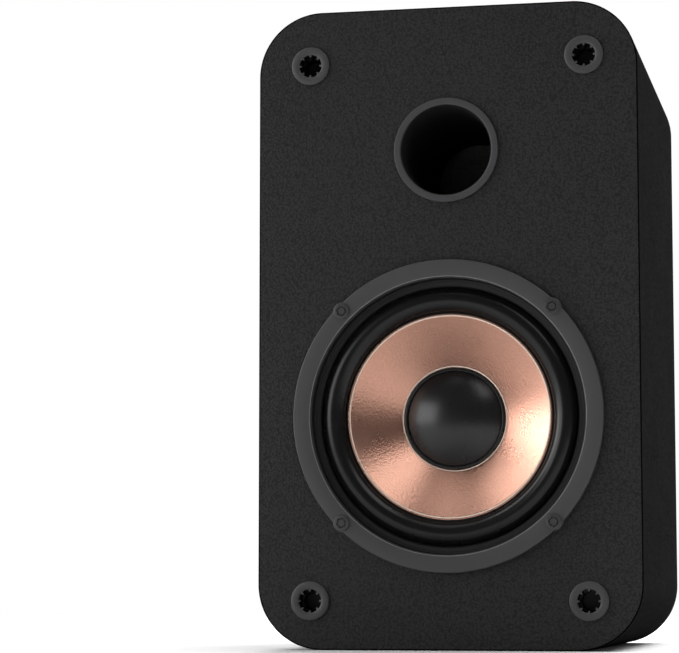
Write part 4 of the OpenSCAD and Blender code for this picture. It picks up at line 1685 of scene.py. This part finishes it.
@dataclass(frozen=True)
class Softbox:
    """A rectangular light that looks at a point of the speaker."""

    name: str
    place: tuple[float, float, float]
    aim: tuple[float, float, float]
    width: float
    height: float
    power: float
    colour: Colour = WHITE

    def build(self) -> None:
        """Places the light and turns it to its aim."""
        light = bpy.data.lights.new(self.name, "AREA")
        light.shape, light.size, light.size_y = "RECTANGLE", self.width, self.height
        light.energy, light.color = self.power, self.colour
        lamp = add_object(self.name, light)
        lamp.location, ahead = self.place, Vector(self.aim) - Vector(self.place)
        lamp.rotation_euler = ahead.to_track_quat("-Z", "Y").to_euler()
        log.info("%s: %g W", self.name, self.power)


@dataclass
class Studio:
    """Floor, surroundings, lights and camera."""

    camera_place: tuple[float, float, float] = (0.1525, -0.9936, 0.0214)
    yaw: float = -0.2078
    pitch: float = 0.1042
    lens: float = 134.3
    floor_size: float = 4.0
    floor_gap: float = 0.05 * MM
    floor_fade: tuple[float, float] = (0.6, 1.3)
    floor_colour: Colour = (0.62, 0.62, 0.62)
    # Painted shade: the floor's colour as seen in reflections, darker than its own.
    reflection_shade: Colour = (0.40, 0.40, 0.40)
    room: tuple[float, float] = (0.1, 1.1)

    def camera(self) -> None:
        """Looks along (sin yaw cos pitch, cos yaw cos pitch, sin pitch)."""
        data = bpy.data.cameras.new("camera")
        data.lens, data.sensor_width, data.sensor_fit = self.lens, 36.0, "HORIZONTAL"
        data.clip_start, data.clip_end = 0.01, 50.0
        data.dof.use_dof = False
        level = math.cos(self.pitch)
        across, back = math.sin(self.yaw) * level, math.cos(self.yaw) * level
        ahead = Vector((across, back, math.sin(self.pitch)))
        eye = add_object("camera", data)
        eye.location = self.camera_place
        eye.rotation_euler = ahead.to_track_quat("-Z", "Y").to_euler()
        bpy.context.scene.camera = eye

    def floor(self) -> None:
        """Lays a plain pale sheet at Z = 0, which fades out towards its edge.

        Its cover falls from 1 to 0 as the distance from the speaker goes from near to far.
        """
        edge = np.linspace(-self.floor_size, self.floor_size, 9)
        x, y = np.meshgrid(edge, edge, indexing="ij")
        grid = Grid(np.stack([x, y, np.full_like(x, -self.floor_gap)], -1), False, False)
        mesh = make_mesh("floor", [grid])
        graph = Graph(bpy.data.materials.new("floor_paper"))
        x, y, _ = graph.parts(graph.place())
        away = (x**2 + y**2).function("SQRT")
        near, far = self.floor_fade
        cover = away.below(far, far - near)
        fine = graph.noise(2 * MM, 3.0)
        # Painted shade: glossy rays see the floor darker, so reflections of it are dimmed.
        glossy = graph.node("ShaderNodeLightPath", out="Is Glossy Ray")
        plain = graph.blend(*tones(self.floor_colour, 0.96, 1), fine)
        colour = graph.blend(plain, self.reflection_shade, glossy)
        sockets = {"Base Color": colour, "Roughness": 0.9, "Specular IOR Level": 0.1}
        paper = graph.node("ShaderNodeBsdfPrincipled", sockets=sockets)
        clear = graph.node("ShaderNodeBsdfTransparent")
        mixed = graph.node("ShaderNodeMixShader", sockets={0: cover, 1: clear, 2: paper})
        mesh.materials.append(graph.finish(mixed))
        add_object("floor", mesh)

    def surroundings(self) -> None:
        """Shows a white room, which lights the speaker mostly from behind.

        The light's strength goes from low to high as the direction's Y goes from 0 to 0.55.
        """
        world = bpy.data.worlds.new("studio")
        bpy.context.scene.world = world
        graph = Graph(world)
        _, back, _ = graph.parts(graph.node("ShaderNodeTexCoord", out="Generated"))
        low, high = self.room
        span = {"Value": back, "From Min": 0.0, "From Max": 0.55, "To Min": low, "To Max": high}
        strength = graph.node("ShaderNodeMapRange", sockets=span, out="Result")
        light = graph.node("ShaderNodeBackground", sockets={"Color": WHITE, "Strength": strength})
        shown = graph.node("ShaderNodeBackground", sockets={"Color": WHITE})
        camera = graph.node("ShaderNodeLightPath", out="Is Camera Ray")
        graph.finish(graph.node("ShaderNodeMixShader", sockets={0: camera, 1: light, 2: shown}))

    def lights(self) -> None:
        """Hangs the softboxes."""
        aim = (0.0, -0.07, 0.1)
        for box in (
            Softbox(
                "left panel", (-0.98, -0.75, 0.30), (0.0, -0.08, 0.10), width=1.0, height=0.55,
                power=5.1,
            ),
            Softbox(
                "left strip", (-1.1, -0.28, 0.75), (0.0, -0.08, 0.15), width=0.5, height=1.5,
                power=8.0,
            ),
            Softbox("upper right", (0.73, -0.64, 1.16), aim, width=0.8, height=0.8, power=3.6),
            Softbox("overhead", (-0.2, -0.45, 1.4), aim, width=0.7, height=0.7, power=1.2),
            Softbox(
                "top right", (0.55, 0.1, 1.3), (0.07, 0.0, 0.2), width=0.5, height=0.5, power=9.0
            ),
            Softbox(
                "floor wash", (0.2, 1.6, 1.6), (0.1, 1.0, 0.0), width=3.0, height=2.0, power=150.0
            ),
        ):
            box.build()

    def build(self) -> None:
        """Sets the whole studio."""
        bpy.context.scene.view_settings.view_transform = "Standard"
        self.camera()
        self.floor()
        self.surroundings()
        self.lights()


def main() -> None:
    """Builds every part of the speaker, then its studio."""
    logging.basicConfig(level=logging.INFO, format="%(name)s: %(message)s")
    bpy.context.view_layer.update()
    Cabinet().build()
    PortTube().build()
    for corner in Corner:
        GrilleSocket(corner).build()
    Driver().build()
    TerminalCup().build()
    for post in Post:
        BindingPost(post).build()
    Wiring().build()
    Studio().build()


if __name__ == "__main__":
    main()
